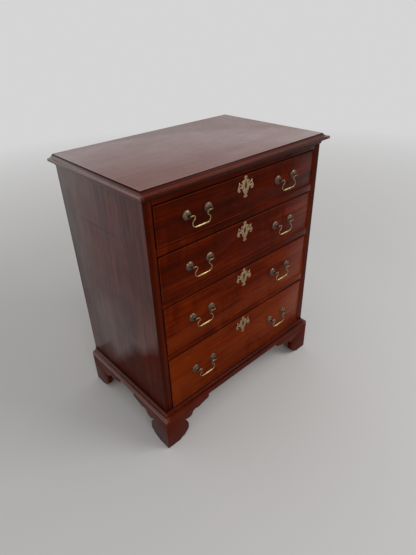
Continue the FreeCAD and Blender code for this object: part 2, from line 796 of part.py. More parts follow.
def drawer_bottom(number):
    """The panel in its grooves, and the runner strips glued under its edges."""
    label = f"drawer_{number}_panel"
    groove_end = f"({BOARD_INNER} + dim.side_groove)"
    panel_z = (panel_low(number), panel_high(number))
    panel = box(label + "_main", (f"-{groove_end}", groove_end), (FRONT_BACK, DRAWER_BACK), panel_z)
    tongue = box(label + "_tongue", (f"-{BOARD_INNER}", BOARD_INNER),
                 (f"{FRONT_BACK} - dim.front_groove", FRONT_BACK), panel_z)
    strip = box(f"drawer_{number}_runner_left",
                (f"-{BOARD_INNER}", f"-({BOARD_INNER} - dim.runner_wide)"),
                (FRONT_BACK, DRAWER_BACK), (side_low(number), panel_low(number)))
    return join(f"drawer_{number}_bottom", fuse(label, panel, tongue), strip,
                mirror(f"drawer_{number}_runner_right", strip, SIDEWAYS))


def drawer_lock(number):
    """A lock case let into the front, with a channel for its bolt."""
    label = f"drawer_{number}_lock"
    high = front_high(number)
    body = new_body(label)
    case = new_sketch(body, label + "_case", "XZ_Plane", f"-{FRONT_BACK}")
    draw_rectangle(case, "-dim.lock_wide / 2", "dim.lock_wide / 2",
                   f"{high} - dim.lock_tall", high)
    pad(body, case, "dim.lock_deep")
    channel = new_sketch(body, label + "_channel", "XY_Plane", high)
    half_wide = "(dim.bolt_wide / 2 + dim.run_gap)"
    half_thick = "(dim.bolt_thick / 2 + dim.run_gap)"
    draw_rectangle(channel, f"-{half_wide}", half_wide,
                   f"{BOLT_Y} - {half_thick}", f"{BOLT_Y} + {half_thick}")
    pocket(body, channel, "dim.bolt_tall + dim.run_gap")
    return body


def lock_bolt(number):
    """The bolt, with its top level with the lock's when the drawer is unlocked."""
    high = front_high(number)
    return box(f"drawer_{number}_lock_bolt", ("-dim.bolt_wide / 2", "dim.bolt_wide / 2"),
               (f"{BOLT_Y} - dim.bolt_thick / 2", f"{BOLT_Y} + dim.bolt_thick / 2"),
               (f"{high} - dim.bolt_tall", high))


# ---- brass furniture

def handle_height(number):
    return f"(({front_low(number)} + {front_high(number)}) / 2 + dim.handle_up)"


def ringed_solid(label, rings):
    """A closed solid of flat faces between rings that have the same number of corners."""
    faces = []
    for here, after in zip(rings, rings[1:]):
        count = len(here)
        for number in range(count):
            following = (number + 1) % count
            loop = [here[number], here[following], after[following], after[number], here[number]]
            faces.append(Part.Face(Part.makePolygon(loop)))
    for end in (rings[0], rings[-1]):
        faces.append(Part.Face(Part.makePolygon(end + end[:1])))
    solid = Part.makeSolid(Part.makeShell(faces))
    if solid.Volume < 0:
        solid.reverse()
    piece = doc.addObject("Part::Feature", label)
    piece.Label = label
    piece.Shape = solid
    return piece


TURNED_FLATS = 10
WIRE_FLATS = 6
LOBE_CHORDS = 4
NECK_CHORDS = 3


def turned_ring(out, radius):
    """A ring round the line that stands out from the drawer front."""
    turns = [2 * math.pi * (number + 0.5) / TURNED_FLATS for number in range(TURNED_FLATS)]
    return [Vector(radius * math.cos(turn), -out, radius * math.sin(turn)) for turn in turns]


def bore_ring(x, radius):
    """A ring of the hole in a post's head, round the hinge line of the bail."""
    ring = wire_ring(x, 0, math.pi / 2, radius)
    return [spot - BACKWARDS * value("dim.pivot_reach") for spot in ring]


def handle_post():
    """A domed rose, a waisted neck and a head bored on its right for the bail's pin."""
    reach = value("dim.pivot_reach")
    half = value("dim.head_half")
    head = value("dim.head_radius")
    stations = [(0, value("dim.rose_radius")),
                (value("dim.rose_rim"), value("dim.rose_radius")),
                (value("dim.rose_dome"), value("dim.crown_radius")),
                (value("dim.rose_crown"), value("dim.neck_radius")),
                (reach - half, head), (reach + head, head)]
    post = ringed_solid("post_blank", [turned_ring(out, radius) for out, radius in stations])
    bore = value("dim.pin_radius + dim.pin_fit") / math.cos(math.pi / WIRE_FLATS)
    hole = ringed_solid("pin_hole", [bore_ring(head - value("dim.pin_in"), bore),
                                     bore_ring(head + value("dim.run_gap"), bore)])
    return cut("handle_post", post, hole)


def handle_mounts(number, post, mirrored_post):
    """The four posts of one drawer, each pair bored towards the bail between them."""
    posts = []
    for hand, handle in (("left", "-dim.handle_out"), ("right", "dim.handle_out")):
        for side, bore, pattern in (("first", "-", post), ("second", "+", mirrored_post)):
            spot = doc.addObject("App::Link", f"drawer_{number}_post_{hand}_{side}")
            spot.LinkedObject = pattern
            spot.setExpression("Placement.Base.x", f"{handle} {bore} dim.bore_span / 2")
            spot.setExpression("Placement.Base.y", FRONT)
            spot.setExpression("Placement.Base.z", handle_height(number))
            posts.append(spot)
    return join(f"drawer_{number}_handle_mounts", *posts)


def wire_ring(x, z, turn, radius):
    """A ring of the bail's wire; turn is where its outer side faces, seen from the front."""
    outer = Vector(math.cos(turn), 0, math.sin(turn))
    ring = []
    for number in range(WIRE_FLATS):
        around = 2 * math.pi * (number + 0.5) / WIRE_FLATS
        ring.append(Vector(x, 0, z) + outer * (radius * math.cos(around))
                    + BACKWARDS * (radius * math.sin(around)))
    return ring


PIN_ROOT = "(dim.bore_span / 2 - dim.head_radius - dim.run_gap)"


def bail():
    """A swan-neck bail round its hinge line: pins, necks, lobes and a thicker grip."""
    wire = value("dim.wire_radius")
    lobe = value("dim.lobe_radius")
    neck = value("dim.neck_bend")
    sideways = lobe + neck - value("dim.neck_in")
    upwards = math.sqrt((lobe + neck) ** 2 - sideways ** 2)
    lobe_x = value("dim.lobe_out") - lobe
    lobe_z = -neck - upwards
    neck_x = lobe_x + sideways
    meeting = math.atan2(upwards, sideways)
    down = -math.pi / 2
    half = [wire_ring(value("dim.grip_half"), lobe_z - lobe, down, value("dim.grip_radius"))]
    for number in range(LOBE_CHORDS + 1):
        turn = down + (meeting - down) * number / LOBE_CHORDS
        half.append(wire_ring(lobe_x + lobe * math.cos(turn), lobe_z + lobe * math.sin(turn),
                              turn, wire))
    for number in range(1, NECK_CHORDS + 1):
        turn = meeting + (down - meeting) * number / NECK_CHORDS
        half.append(wire_ring(neck_x - neck * math.cos(turn), -neck - neck * math.sin(turn),
                              turn, wire))
    half.append(wire_ring(value(PIN_ROOT), 0, down, wire))
    mirrored = [[Vector(-spot.x, spot.y, spot.z) for spot in ring] for ring in reversed(half)]
    pin = doc.addObject("Part::Cylinder", "bail_pin")
    pin.Placement.Rotation = FreeCAD.Rotation(BACKWARDS, 90)
    pin.setExpression("Radius", "dim.pin_radius")
    pin.setExpression("Height", "dim.pin_in")
    pin.setExpression("Placement.Base.x", PIN_ROOT)
    return fuse("bail", ringed_solid("bail_wire", mirrored + half), pin,
                mirror("bail_pin_left", pin, SIDEWAYS))


# Half of the pierced key plate, as parts of its width and height from the keyhole.
PLATE_OUTLINE = [
    (0.000, 0.435), (0.070, 0.415), (0.094, 0.375), (0.047, 0.274), (0.125, 0.255),
    (0.235, 0.205), (0.235, 0.150), (0.135, 0.090), (0.170, 0.060), (0.290, 0.105),
    (0.400, 0.215), (0.410, 0.105), (0.440, 0.020), (0.485, -0.050), (0.495, -0.120),
    (0.470, -0.195), (0.395, -0.240), (0.325, -0.220), (0.320, -0.165), (0.375, -0.130),
    (0.345, -0.075), (0.205, -0.125), (0.165, -0.260), (0.094, -0.355), (0.045, -0.435),
    (0.125, -0.485), (0.095, -0.535), (0.000, -0.565),
]
PLATE_PIERCING = [(0.205, 0.005), (0.290, 0.040), (0.345, 0.105), (0.390, 0.010), (0.310, -0.025)]


def key_plate():
    """A pierced rococo key plate, flat at the back, with horns and scrolls at its sides."""
    def spots(outline, sign):
        return [(f"{sign}{across} * dim.plate_wide", f"{up} * dim.plate_tall", *bend)
                for across, up, *bend in outline]
    body = new_body("key_plate")
    outline = new_sketch(body, "plate_outline", "XZ_Plane")
    right = spots(PLATE_OUTLINE, "")
    left = []
    for here, before in zip(PLATE_OUTLINE[:0:-1], PLATE_OUTLINE[-2::-1]):
        left.append((f"-{here[0]} * dim.plate_wide", f"{here[1]} * dim.plate_tall",
                     bulge_of(before)))
    draw(outline, right + left[1:])
    pad(body, outline, "dim.plate_thick")
    for sign in ("", "-"):
        piercing = new_sketch(body, f"plate_piercing{len(sign)}", "XZ_Plane")
        draw(piercing, spots(PLATE_PIERCING, sign))
        pocket(body, piercing, both_ways=True)
    keyhole = new_sketch(body, "plate_keyhole", "XZ_Plane")
    draw(keyhole, keyhole_outline("0"))
    pocket(body, keyhole, both_ways=True)
    return body


# ---- the whole chest

def case_parts():
    left = case_side("side_left")
    top_z = (opening_top(1), CASE_TOP)
    back_rail_y = (f"{BOARD_BACK} - dim.rail_deep", BOARD_BACK)
    end = f"({INNER} + dim.housing_deep)"
    parts = [top_board(), moulding("cornice_mouldings", COVE, "dim.cove_over"),
             left, mirror("side_right", left, SIDEWAYS), case_bottom(), back_boards(),
             drawer_rail("top_rail_front", top_z),
             box("top_rail_back", (f"-{end}", end), back_rail_y, top_z)]
    dividers = [drawer_rail(f"divider_{number}", (opening_top(number + 1), opening_floor(number)))
                for number in DRAWERS[:-1]]
    parts += [join("divider_rails", *dividers), dust_boards(), drawer_stops(),
              moulding("base_mouldings", BASE, "dim.base_over")]
    return parts + feet() + [foot_blocks()]


def drawer_parts(number, posts, ring, plate):
    name = f"drawer_{number}"
    parts = [drawer_front(number), cock_beads(number), drawer_sides(number),
             drawer_back(number), drawer_bottom(number), drawer_lock(number), lock_bolt(number),
             copy_at(f"{name}_escutcheon", plate, "0", FRONT,
                     f"{front_high(number)} - dim.key_down"),
             handle_mounts(number, *posts)]
    for hand, handle in (("left", "-dim.handle_out"), ("right", "dim.handle_out")):
        parts.append(copy_at(f"{name}_bail_{hand}", ring, handle,
                             f"{FRONT} - dim.pivot_reach", handle_height(number)))
    return parts


sub_parts = case_parts()
post_pattern = handle_post()
post_patterns = (post_pattern, mirror("handle_post_mirrored", post_pattern, SIDEWAYS))
bail_pattern = bail()
plate_pattern = key_plate()
for drawer in DRAWERS:
    sub_parts += drawer_parts(drawer, post_patterns, bail_pattern, plate_pattern)
doc.recompute()

for item in doc.Objects:
    if "Invalid" in item.State or "Error" in item.State:
        raise RuntimeError(f"{item.Name} is {item.State}")
for sub_part in sub_parts:
    if sub_part.Shape.isNull() or not sub_part.Shape.isValid():
        raise RuntimeError(f"{sub_part.Label} has no valid shape")
    sub_part.Shape.exportStep(f"parts/{sub_part.Label}.step")
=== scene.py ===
import json
import math
import bmesh
import bpy
from bpy.props import FloatProperty, FloatVectorProperty, IntProperty, PointerProperty
from mathutils import Matrix, Vector


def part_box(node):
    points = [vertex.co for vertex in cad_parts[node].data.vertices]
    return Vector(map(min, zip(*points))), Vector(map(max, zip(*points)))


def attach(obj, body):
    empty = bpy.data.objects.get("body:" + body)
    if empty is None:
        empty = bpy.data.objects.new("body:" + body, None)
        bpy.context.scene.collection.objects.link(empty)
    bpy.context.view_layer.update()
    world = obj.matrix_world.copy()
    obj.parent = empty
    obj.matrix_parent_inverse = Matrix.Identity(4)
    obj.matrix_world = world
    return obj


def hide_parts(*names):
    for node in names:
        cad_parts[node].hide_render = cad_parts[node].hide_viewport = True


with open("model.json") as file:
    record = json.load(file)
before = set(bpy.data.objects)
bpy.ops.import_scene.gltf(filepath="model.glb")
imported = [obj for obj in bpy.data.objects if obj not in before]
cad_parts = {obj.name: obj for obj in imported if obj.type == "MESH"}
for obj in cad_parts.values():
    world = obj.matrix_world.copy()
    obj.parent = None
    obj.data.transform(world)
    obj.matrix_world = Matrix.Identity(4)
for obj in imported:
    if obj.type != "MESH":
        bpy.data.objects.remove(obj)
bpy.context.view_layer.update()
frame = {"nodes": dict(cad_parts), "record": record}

bl_info = {
    "name": "Bachelor's chest finish",
    "version": (1, 0, 0),
    "blender": (4, 5, 0),
    "location": "3D View > Sidebar > Chest",
    "description": "Dresses the jointed chest of drawers in mahogany, old brass and oak",
    "category": "Object",
}

DRAWERS = (1, 2, 3, 4)
HANDS = ("left", "right")
LOW, HIGH = 0, 1
X, Y, Z = 0, 1, 2
SIDE_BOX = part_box("side_left")
FRONT_FACE = SIDE_BOX[LOW][Y]
CASE_HALF, OPENING_HALF = -SIDE_BOX[LOW][X], -SIDE_BOX[HIGH][X]


# ---- sizes and colours that a user would change

def length(name, description, default):
    return FloatProperty(name=name, description=description, default=default, min=0.0001,
                         max=0.1, unit="LENGTH")


class ChestSizes(bpy.types.PropertyGroup):
    arris: length("Arris", "How far the corners of the case are rubbed round", 0.0007)
    fine_arris: length("Fine arris", "Rounding of small mouldings and beads", 0.00035)
    rose_radius: length("Rose radius", "Radius of the domed plate behind each post", 0.014)
    wire_radius: length("Wire radius", "Radius of the bail where it is thinnest", 0.0017)
    grip_radius: length("Grip radius", "Radius of the bail in the middle of its grip", 0.0027)
    nut_width: length("Nut width", "Width of the square nuts behind the handles", 0.0085)
    screw_radius: length("Screw radius", "Radius of the heads of the lock screws", 0.0032)
    nail_radius: length("Nail radius", "Radius of the heads of the cut nails", 0.0024)
    wire_sides: IntProperty(
        name="Wire sides", description="Flats round the bail's wire", default=16, min=8, max=32)
    lens: FloatProperty(
        name="Lens", description="Focal length for a 36 mm wide sensor",
        default=27.5, min=15, max=80, unit="CAMERA")


def colour(name, description, default):
    return FloatVectorProperty(name=name, description=description, default=default,
                               subtype="COLOR", size=3, min=0, max=1)


class ChestColours(bpy.types.PropertyGroup):
    dark: colour("Dark grain", "Darkest streaks of the mahogany", (0.022, 0.0034, 0.0014))
    red: colour("Red ground", "Main colour of the polished mahogany", (0.100, 0.0080, 0.0008))
    orange: colour("Rubbed grain", "Lighter figure where the polish is worn",
                   (0.24, 0.043, 0.0055))
    # Pale bloom: partly faded polish, partly painted sheen on the top, and painted sheen at the
    # ends of the chest.
    faded_sheen: colour("Faded polish", "Bloom of the sun-bleached top", (0.21, 0.092, 0.078))
    oak_light: colour("Oak", "Bare oak of the drawer linings", (0.43, 0.26, 0.13))
    oak_dark: colour("Oak grain", "Grain and dirt in the oak", (0.20, 0.11, 0.05))
    pine_light: colour("Pine", "Bare pine of the back and dust boards", (0.36, 0.20, 0.09))
    pine_dark: colour("Pine grain", "Summer growth in the pine", (0.17, 0.075, 0.03))
    brass_bright: colour("Bright brass", "Rubbed brass of the grips", (0.60, 0.44, 0.18))
    brass_brown: colour("Dull brass", "Brass under its brown skin", (0.108, 0.068, 0.052))
    # Bright brass of the key plates; on their arris it shows more, partly as wear and partly as
    # a painted highlight.
    brass_rose: colour("Worn brass", "Rubbed edges of the key plates", (0.50, 0.34, 0.18))
    iron: colour("Iron", "Lock cases and bolts", (0.10, 0.095, 0.09))
    floor: colour("Floor", "Plain pale floor and backdrop", (0.64, 0.632, 0.628))
    backdrop: colour("Backdrop", "What is seen beyond the floor", (0.67, 0.665, 0.665))


# ---- node tree helpers

class Recipe:
    """One material's node tree, with short ways to add and join its nodes."""

    def __init__(self, name):
        self.material = bpy.data.materials.new(name)
        self.material.use_nodes = True
        self.tree = self.material.node_tree
        self.tree.nodes.clear()
        self.output = self.tree.nodes.new("ShaderNodeOutputMaterial")
        self.shader = self.tree.nodes.new("ShaderNodeBsdfPrincipled")
        self.tree.links.new(self.shader.outputs["BSDF"], self.output.inputs["Surface"])
        self.place = self.tree.nodes.new("ShaderNodeTexCoord").outputs["Object"]

    def plug(self, source, socket):
        """Joins a socket to another, or sets its value."""
        if isinstance(source, bpy.types.NodeSocket):
            self.tree.links.new(source, socket)
        else:
            socket.default_value = source

    def node(self, kind, result, inputs):
        """Adds a node with these inputs, and gives back one of its outputs."""
        node = self.tree.nodes.new(kind)
        for name, source in inputs.items():
            self.plug(source, node.inputs[name])
        return node.outputs[result]

    def mapped(self, source, scale, turn=(0, 0, 0), shift=(0, 0, 0)):
        return self.node("ShaderNodeMapping", "Vector", {
            "Vector": source, "Scale": scale, "Rotation": turn, "Location": shift})

    def noise(self, source, scale, detail=4, roughness=0.55, distortion=0, result="Fac"):
        return self.node("ShaderNodeTexNoise", result, {
            "Vector": source, "Scale": scale, "Detail": detail, "Roughness": roughness,
            "Distortion": distortion})

    def specks(self, source, scale):
        return self.node("ShaderNodeTexVoronoi", "Distance", {"Vector": source, "Scale": scale})

    def wandering(self, source, scale, amount):
        """The same coordinates, pushed sideways by a slow noise."""
        push = self.noise(source, scale, detail=2, roughness=0.5, result="Color")
        return self.vectors("MULTIPLY_ADD", push, (amount, amount, amount), source)

    def ramp(self, source, low, high, start=0.0, end=1.0):
        """Maps a stretch of values onto another, without going past its ends."""
        return self.node("ShaderNodeMapRange", "Result", {
            "Value": source, "From Min": low, "From Max": high, "To Min": start, "To Max": end})

    def near(self, source, middle, inner, outer, most=1.0):
        """The most within a short way of a middle value, and 0 further off."""
        away = self.maths("ABSOLUTE", self.maths("SUBTRACT", source, middle))
        return self.ramp(away, inner, outer, most, 0)

    def maths(self, operation, first, second=0.0):
        node = self.tree.nodes.new("ShaderNodeMath")
        node.operation = operation
        self.plug(first, node.inputs[0])
        self.plug(second, node.inputs[1])
        return node.outputs[0]

    def vectors(self, operation, *sources, result="Vector"):
        node = self.tree.nodes.new("ShaderNodeVectorMath")
        node.operation = operation
        for source, socket in zip(sources, node.inputs):
            self.plug(source, socket)
        return node.outputs[result]

    def total(self, *sources):
        result = sources[0]
        for source in sources[1:]:
            result = self.maths("ADD", result, source)
        return result

    def times(self, first, second):
        return self.maths("MULTIPLY", first, second)

    def mix(self, share, first, second, blend="MIX"):
        node = self.tree.nodes.new("ShaderNodeMix")
        node.data_type = "RGBA"
        node.blend_type = blend
        self.plug(share, node.inputs[0])
        for socket, source in ((node.inputs[6], first), (node.inputs[7], second)):
            if not isinstance(source, bpy.types.NodeSocket):
                source = (*source, 1)
            self.plug(source, socket)
        return node.outputs[2]

    def part_of(self, source, axis):
        """One coordinate: 0, 1 or 2 for x, y or z."""
        return self.node("ShaderNodeSeparateXYZ", axis, {"Vector": source})

    def keyhole_shade(self, half_wide, half_tall):
        """The ovals of painted shade at the keyholes, as the share of them at each point."""
        share = 0
        for number in DRAWERS:
            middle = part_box(f"drawer_{number}_escutcheon")[HIGH][Z] - KEYHOLE_DOWN
            oval = self.mapped(self.place, (1 / half_wide, 0, 1 / half_tall),
                               shift=(0, 0, -middle / half_tall))
            away = self.vectors("LENGTH", oval, result="Value")
            share = self.total(share, self.ramp(away, 1, 1.15, 1, 0))
        return share

    def bump(self, height, strength, distance, under=None):
        inputs = {"Height": height, "Strength": strength, "Distance": distance}
        if under:
            inputs["Normal"] = under
        return self.node("ShaderNodeBump", "Normal", inputs)

    def finish(self, **sockets):
        for name, source in sockets.items():
            self.plug(source, self.shader.inputs[name.replace("_", " ").title()
                                                 .replace("Ior", "IOR")])
        return self.material


# ---- finishes

def grain_turn(axis):
    """Turns object coordinates so that the grain runs along the pattern's X."""
    quarter = math.pi / 2
    return {"X": (0, 0, 0), "Y": (0, 0, quarter), "Z": (0, quarter, 0)}[axis]


class Mahogany(Recipe):
    """The figure of mahogany, and the places on the chest where its finish changes or carries
    painted shade, highlights and reflections.
    """

    def __init__(self, name, axis):
        super().__init__(name)
        self.back = self.part_of(self.place, Y)
        self.height = self.part_of(self.place, Z)
        self.outwards = self.maths("ABSOLUTE", self.part_of(self.place, X))
        along = self.mapped(self.place, (1, 1, 1), turn=grain_turn(axis))
        self.along = self.wandering(along, 2.2, 0.035)
        self.bands = self.noise(self.mapped(self.along, (0.8, 15, 15), shift=(3, 1, 2)), 1,
                                detail=5, distortion=1.0)
        self.streaks = self.noise(self.mapped(self.along, (3.5, 90, 90)), 1, detail=6,
                                  roughness=0.62, distortion=0.4)
        self.cloud = self.noise(self.mapped(self.along, (4, 8, 8), shift=(7, 4, 1)), 1)
        self.smears = self.noise(self.place, 8, detail=6, roughness=0.65)

    def lightness(self, figure, height_shading):
        """How light the figure is at each point, with painted shade high on the chest and
        painted light low down.
        """
        ripple = self.noise(self.mapped(self.along, (30, 9, 9), turn=(0, 0.3, 0.35)), 1,
                            detail=3, distortion=0.9)
        patches = self.ramp(self.noise(self.place, 5.5, detail=2), 0.42, 0.62)
        return self.total(self.ramp(self.bands, 0.34, 0.66, -0.17, 0.17),
                          self.ramp(self.streaks, 0.33, 0.68, -0.18, 0.18),
                          self.ramp(self.cloud, 0.3, 0.7, -0.26 * figure, 0.26 * figure),
                          self.times(patches, self.ramp(ripple, 0.38, 0.62, -0.14 * figure,
                                                        0.14 * figure)),
                          self.ramp(self.height, 0.78, 0.28, -height_shading, height_shading))

    def moulded_edge(self):
        """Where the top's moulded edge has its groove, with painted shade, and its hollow and
        its lip, with painted highlight lines.
        """
        groove = self.times(self.ramp(self.height, NOSE_TOP + 0.0050, NOSE_TOP + 0.0060),
                            self.ramp(self.height, NOSE_TOP + 0.0086, NOSE_TOP + 0.0089, 1, 0))
        hollow = self.ramp(self.height, NOSE_TOP - 0.0005, NOSE_TOP + 0.001)
        return groove, hollow, self.near(self.height, NOSE_TOP, 0.0008, 0.0020)

    def bleached_with_sheen(self, wood, faded_sheen, sheen_bloom):
        """Lightens the flat of the top, partly as faded polish and partly as painted sheen, and
        its rim a little more, partly as wear and partly as a painted highlight.
        """
        rim = self.maths("MAXIMUM", self.ramp(self.outwards, RIM_HALF, RIM_HALF + 0.0015),
                         self.ramp(self.back, FRONT_FACE + 0.0005, FRONT_FACE - 0.0010))
        bleach_and_sheen = self.times(self.ramp(self.height, *TOP_STEP, 0, faded_sheen),
                            self.ramp(self.bands, 0.36, 0.64, 0.72, 1.06))
        wood = self.mix(bleach_and_sheen, wood, sheen_bloom)
        return self.mix(self.times(bleach_and_sheen, self.times(rim, 0.35)), wood, RIM_WEAR_AND_HIGHLIGHT)

    def gap_shade(self, on_edge, rails):
        """How much painted shade each point gets round the drawers: behind the front plane,
        along the stile's inner edge and in lines on the rails.
        """
        shade = self.times(self.ramp(self.back, FRONT_FACE + 0.0002, FRONT_FACE + 0.0010),
                           self.ramp(self.back, FRONT_FACE + 0.006, FRONT_FACE + 0.014,
                                     0.95, 0.3))
        if on_edge is not None:
            shade = self.times(shade, self.ramp(self.outwards, OPENING_HALF + 0.0012,
                                                OPENING_HALF + 0.0006))
            inner = self.ramp(self.outwards, OPENING_HALF + 0.0022, OPENING_HALF + 0.0014,
                              0, GAP_SHARE)
            shade = self.maths("MAXIMUM", shade, self.times(inner, on_edge))
        if rails:
            for number in DRAWERS:
                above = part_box(f"drawer_{number}_cock_beads")[HIGH][Z] + GAP_ABOVE
                line = self.near(self.height, above, 0.0014, 0.0022, GAP_SHARE)
                shade = self.maths("MAXIMUM", shade, line)
        return shade

    def long_scratch(self, height, middle, half):
        """One broken scratch across the left side, as the share of it at each point."""
        wobble = self.noise(self.mapped(self.place, (1, 14, 0)), 1, detail=2)
        line = self.near(self.height, self.ramp(wobble, 0.3, 0.7, height - 0.002,
                                                height + 0.002), 0.0014, 0.0030)
        along = self.maths("ABSOLUTE", self.maths("SUBTRACT", self.back, middle))
        within = self.ramp(along, half * 0.5, half, 0.42, -0.12)
        broken = self.noise(self.mapped(self.place, (1, 55, 0), shift=(0, 3, 0)), 1, detail=2)
        share = self.ramp(self.total(broken, within), 0.46, 0.66)
        left = self.ramp(self.part_of(self.place, X), 0.0010 - CASE_HALF, 0.0002 - CASE_HALF)
        return self.times(self.times(line, share), left)

    def painted_reflection_coat(self, coat, towards, start, end, most):
        """The coat, thicker or thinner along one direction, and a little uneven: a painted
        reflection.
        """
        drift = self.total(self.vectors("DOT_PRODUCT", self.place, towards, result="Value"),
                           self.ramp(self.cloud, 0.3, 0.7, -0.025, 0.025))
        coat = self.total(coat, self.ramp(drift, start, end, 0, most))
        coat = self.times(coat, self.ramp(self.streaks, 0.34, 0.66, 0.8, 1.1))
        return self.times(coat, self.ramp(self.smears, 0.35, 0.68, 1.1, 0.85))


def polished_mahogany(name, axis, rubbed=False, arris_wear_and_light=0.1, tint=0.5, deep=0.0, height_shading=0.0,
                      figure=0.6, gloss=0.28, level=0.05, coat=0.0, film=0.25, faded_sheen=0.0,
                      reflection_haze=(), corner_shade=(), end_sheen=(), scratch=(), nosing=False, facing=False,
                      gap_shading=False, rails=False, keyholes=False):
    """French-polished mahogany: streaks, mottled figure, open pores, dents and small scars."""
    colours = bpy.context.scene.chest_colours
    dark, red, orange = tuple(colours.dark), tuple(colours.red), tuple(colours.orange)
    sheen_bloom = tuple(colours.faded_sheen)
    recipe = Mahogany(name, axis)
    height, back, outwards = recipe.height, recipe.back, recipe.outwards
    on_edge = None
    # On the arris faces arris_wear_and_light changes the lightness: partly wear, partly painted
    # highlight on the top, beads and mouldings, and painted shade along the rails' edges at the
    # gaps.
    light = recipe.total(recipe.lightness(figure, height_shading),
                         0.46 - deep + (arris_wear_and_light if rubbed else 0))
    # painted shade: darker in the corner where the sides meet the base moulding
    if corner_shade:
        start, end, most = corner_shade
        light = recipe.total(light, recipe.ramp(height, start, end, most, 0))
    # painted shade on the edge below the flat and in its groove; painted highlight lines on the
    # hollow and the lip
    if nosing:
        groove, hollow, lip = recipe.moulded_edge()
        light = recipe.total(light, recipe.ramp(height, *TOP_STEP, -0.42, 0),
                             recipe.times(hollow, 0.22), recipe.times(lip, 0.35),
                             recipe.times(groove, -0.9))
    ground = recipe.mix(recipe.ramp(light, 0.0, 0.72), dark, red)
    wood = recipe.mix(recipe.ramp(light, 0.50, 1.35, 0, tint), ground, orange)
    # partly faded polish, partly painted sheen on the flat of the top
    if faded_sheen:
        wood = recipe.bleached_with_sheen(wood, faded_sheen, sheen_bloom)
    # painted sheen: the ends of the chest are paler
    if end_sheen:
        start, amount = end_sheen
        nose = start + 0.0085
        wood = recipe.mix(recipe.ramp(outwards, nose, nose + 0.002, 0, 0.5), wood, sheen_bloom)
    if facing:
        on_edge = recipe.ramp(back, FRONT_FACE + 0.0010, FRONT_FACE + 0.0006)
        outer = recipe.ramp(outwards, OUTER_STRIP, OUTER_STRIP + 0.0014)
        wood = recipe.mix(recipe.times(recipe.times(on_edge, outer), 0.6), wood, dark)
    # painted shade in and beside the gaps round the drawers
    if gap_shading:
        wood = recipe.mix(recipe.gap_shade(on_edge, rails), wood, GAP_BLACK)
    # painted shade: dark ovals on the fronts behind the keyholes
    if keyholes:
        wood = recipe.mix(recipe.keyhole_shade(0.0050, 0.0115), wood, GAP_BLACK)
    if scratch:
        mark = recipe.long_scratch(*scratch)
        wood = recipe.mix(mark, wood, GAP_BLACK)
        coat = recipe.times(coat, recipe.ramp(mark, 0, 1, 1, 0.25))
    pores = recipe.noise(recipe.mapped(recipe.along, (42, 950, 950)), 1, detail=2)
    pits = recipe.ramp(pores, 0.58, 0.69)
    wood = recipe.mix(recipe.times(pits, 0.5), wood, dark)
    hair = recipe.noise(recipe.mapped(recipe.place, (11, 620, 560), turn=(0.5, 0.3, 0.7)), 1,
                        detail=1)
    scar = recipe.ramp(hair, 0.70, 0.74)
    wood = recipe.mix(recipe.times(scar, 0.14), wood, SCAR_BROWN)
    dents = recipe.ramp(recipe.specks(recipe.place, 15), 0.028, 0.07, 1, 0)
    wood = recipe.mix(recipe.times(dents, 0.55), wood, dark)
    rough = recipe.total(recipe.ramp(recipe.smears, 0.3, 0.72, gloss, gloss + 0.12),
                         recipe.times(pits, 0.10), recipe.times(scar, 0.12))
    relief = recipe.bump(recipe.maths("SUBTRACT", recipe.streaks, pits), 0.10, 0.0006)
    relief = recipe.bump(recipe.maths("SUBTRACT", recipe.smears, dents), 0.16, 0.0012, relief)
    # painted reflection: the coat weight rises or falls across the surface
    if reflection_haze:
        coat = recipe.painted_reflection_coat(coat, *reflection_haze)
    # painted reflection: the sides' coat is thicker towards the front, thinner at the back edge
    # and absent on the front faces
    if facing:
        coat = recipe.times(coat, recipe.ramp(back, -0.2, 0.215, 1.52, 0.86))
        coat = recipe.times(coat, recipe.ramp(back, 0.203, 0.216, 1, 0.7))
        coat = recipe.times(coat, recipe.maths("SUBTRACT", 1, on_edge))
    # painted sheen on the flat, less coat on the edge, more on the highlight lines and almost
    # none in the shaded groove
    if nosing:
        coat = recipe.total(recipe.times(coat, recipe.ramp(height, *TOP_STEP, 0.05, 1)),
                            recipe.times(hollow, 0.12), recipe.times(lip, 0.2))
        coat = recipe.times(coat, recipe.ramp(groove, 0, 1, 1, 0.1))
    # painted reflection: more coat at the ends of the chest
    if end_sheen:
        side = recipe.ramp(outwards, start, start + 0.0015, 0, amount)
        if nosing:
            side = recipe.times(side, recipe.ramp(height, NOSE_TOP - 0.0025, NOSE_TOP - 0.0005,
                                                  0.5, 1))
            side = recipe.times(side, recipe.ramp(height, *TOP_STEP, 1, 0))
        coat = recipe.total(coat, side)
    return recipe.finish(base_color=wood, roughness=rough, normal=relief, ior=1.5,
                         specular_ior_level=level, specular_tint=POLISH_GLOW,
                         coat_weight=coat, coat_roughness=film, coat_ior=1.5)


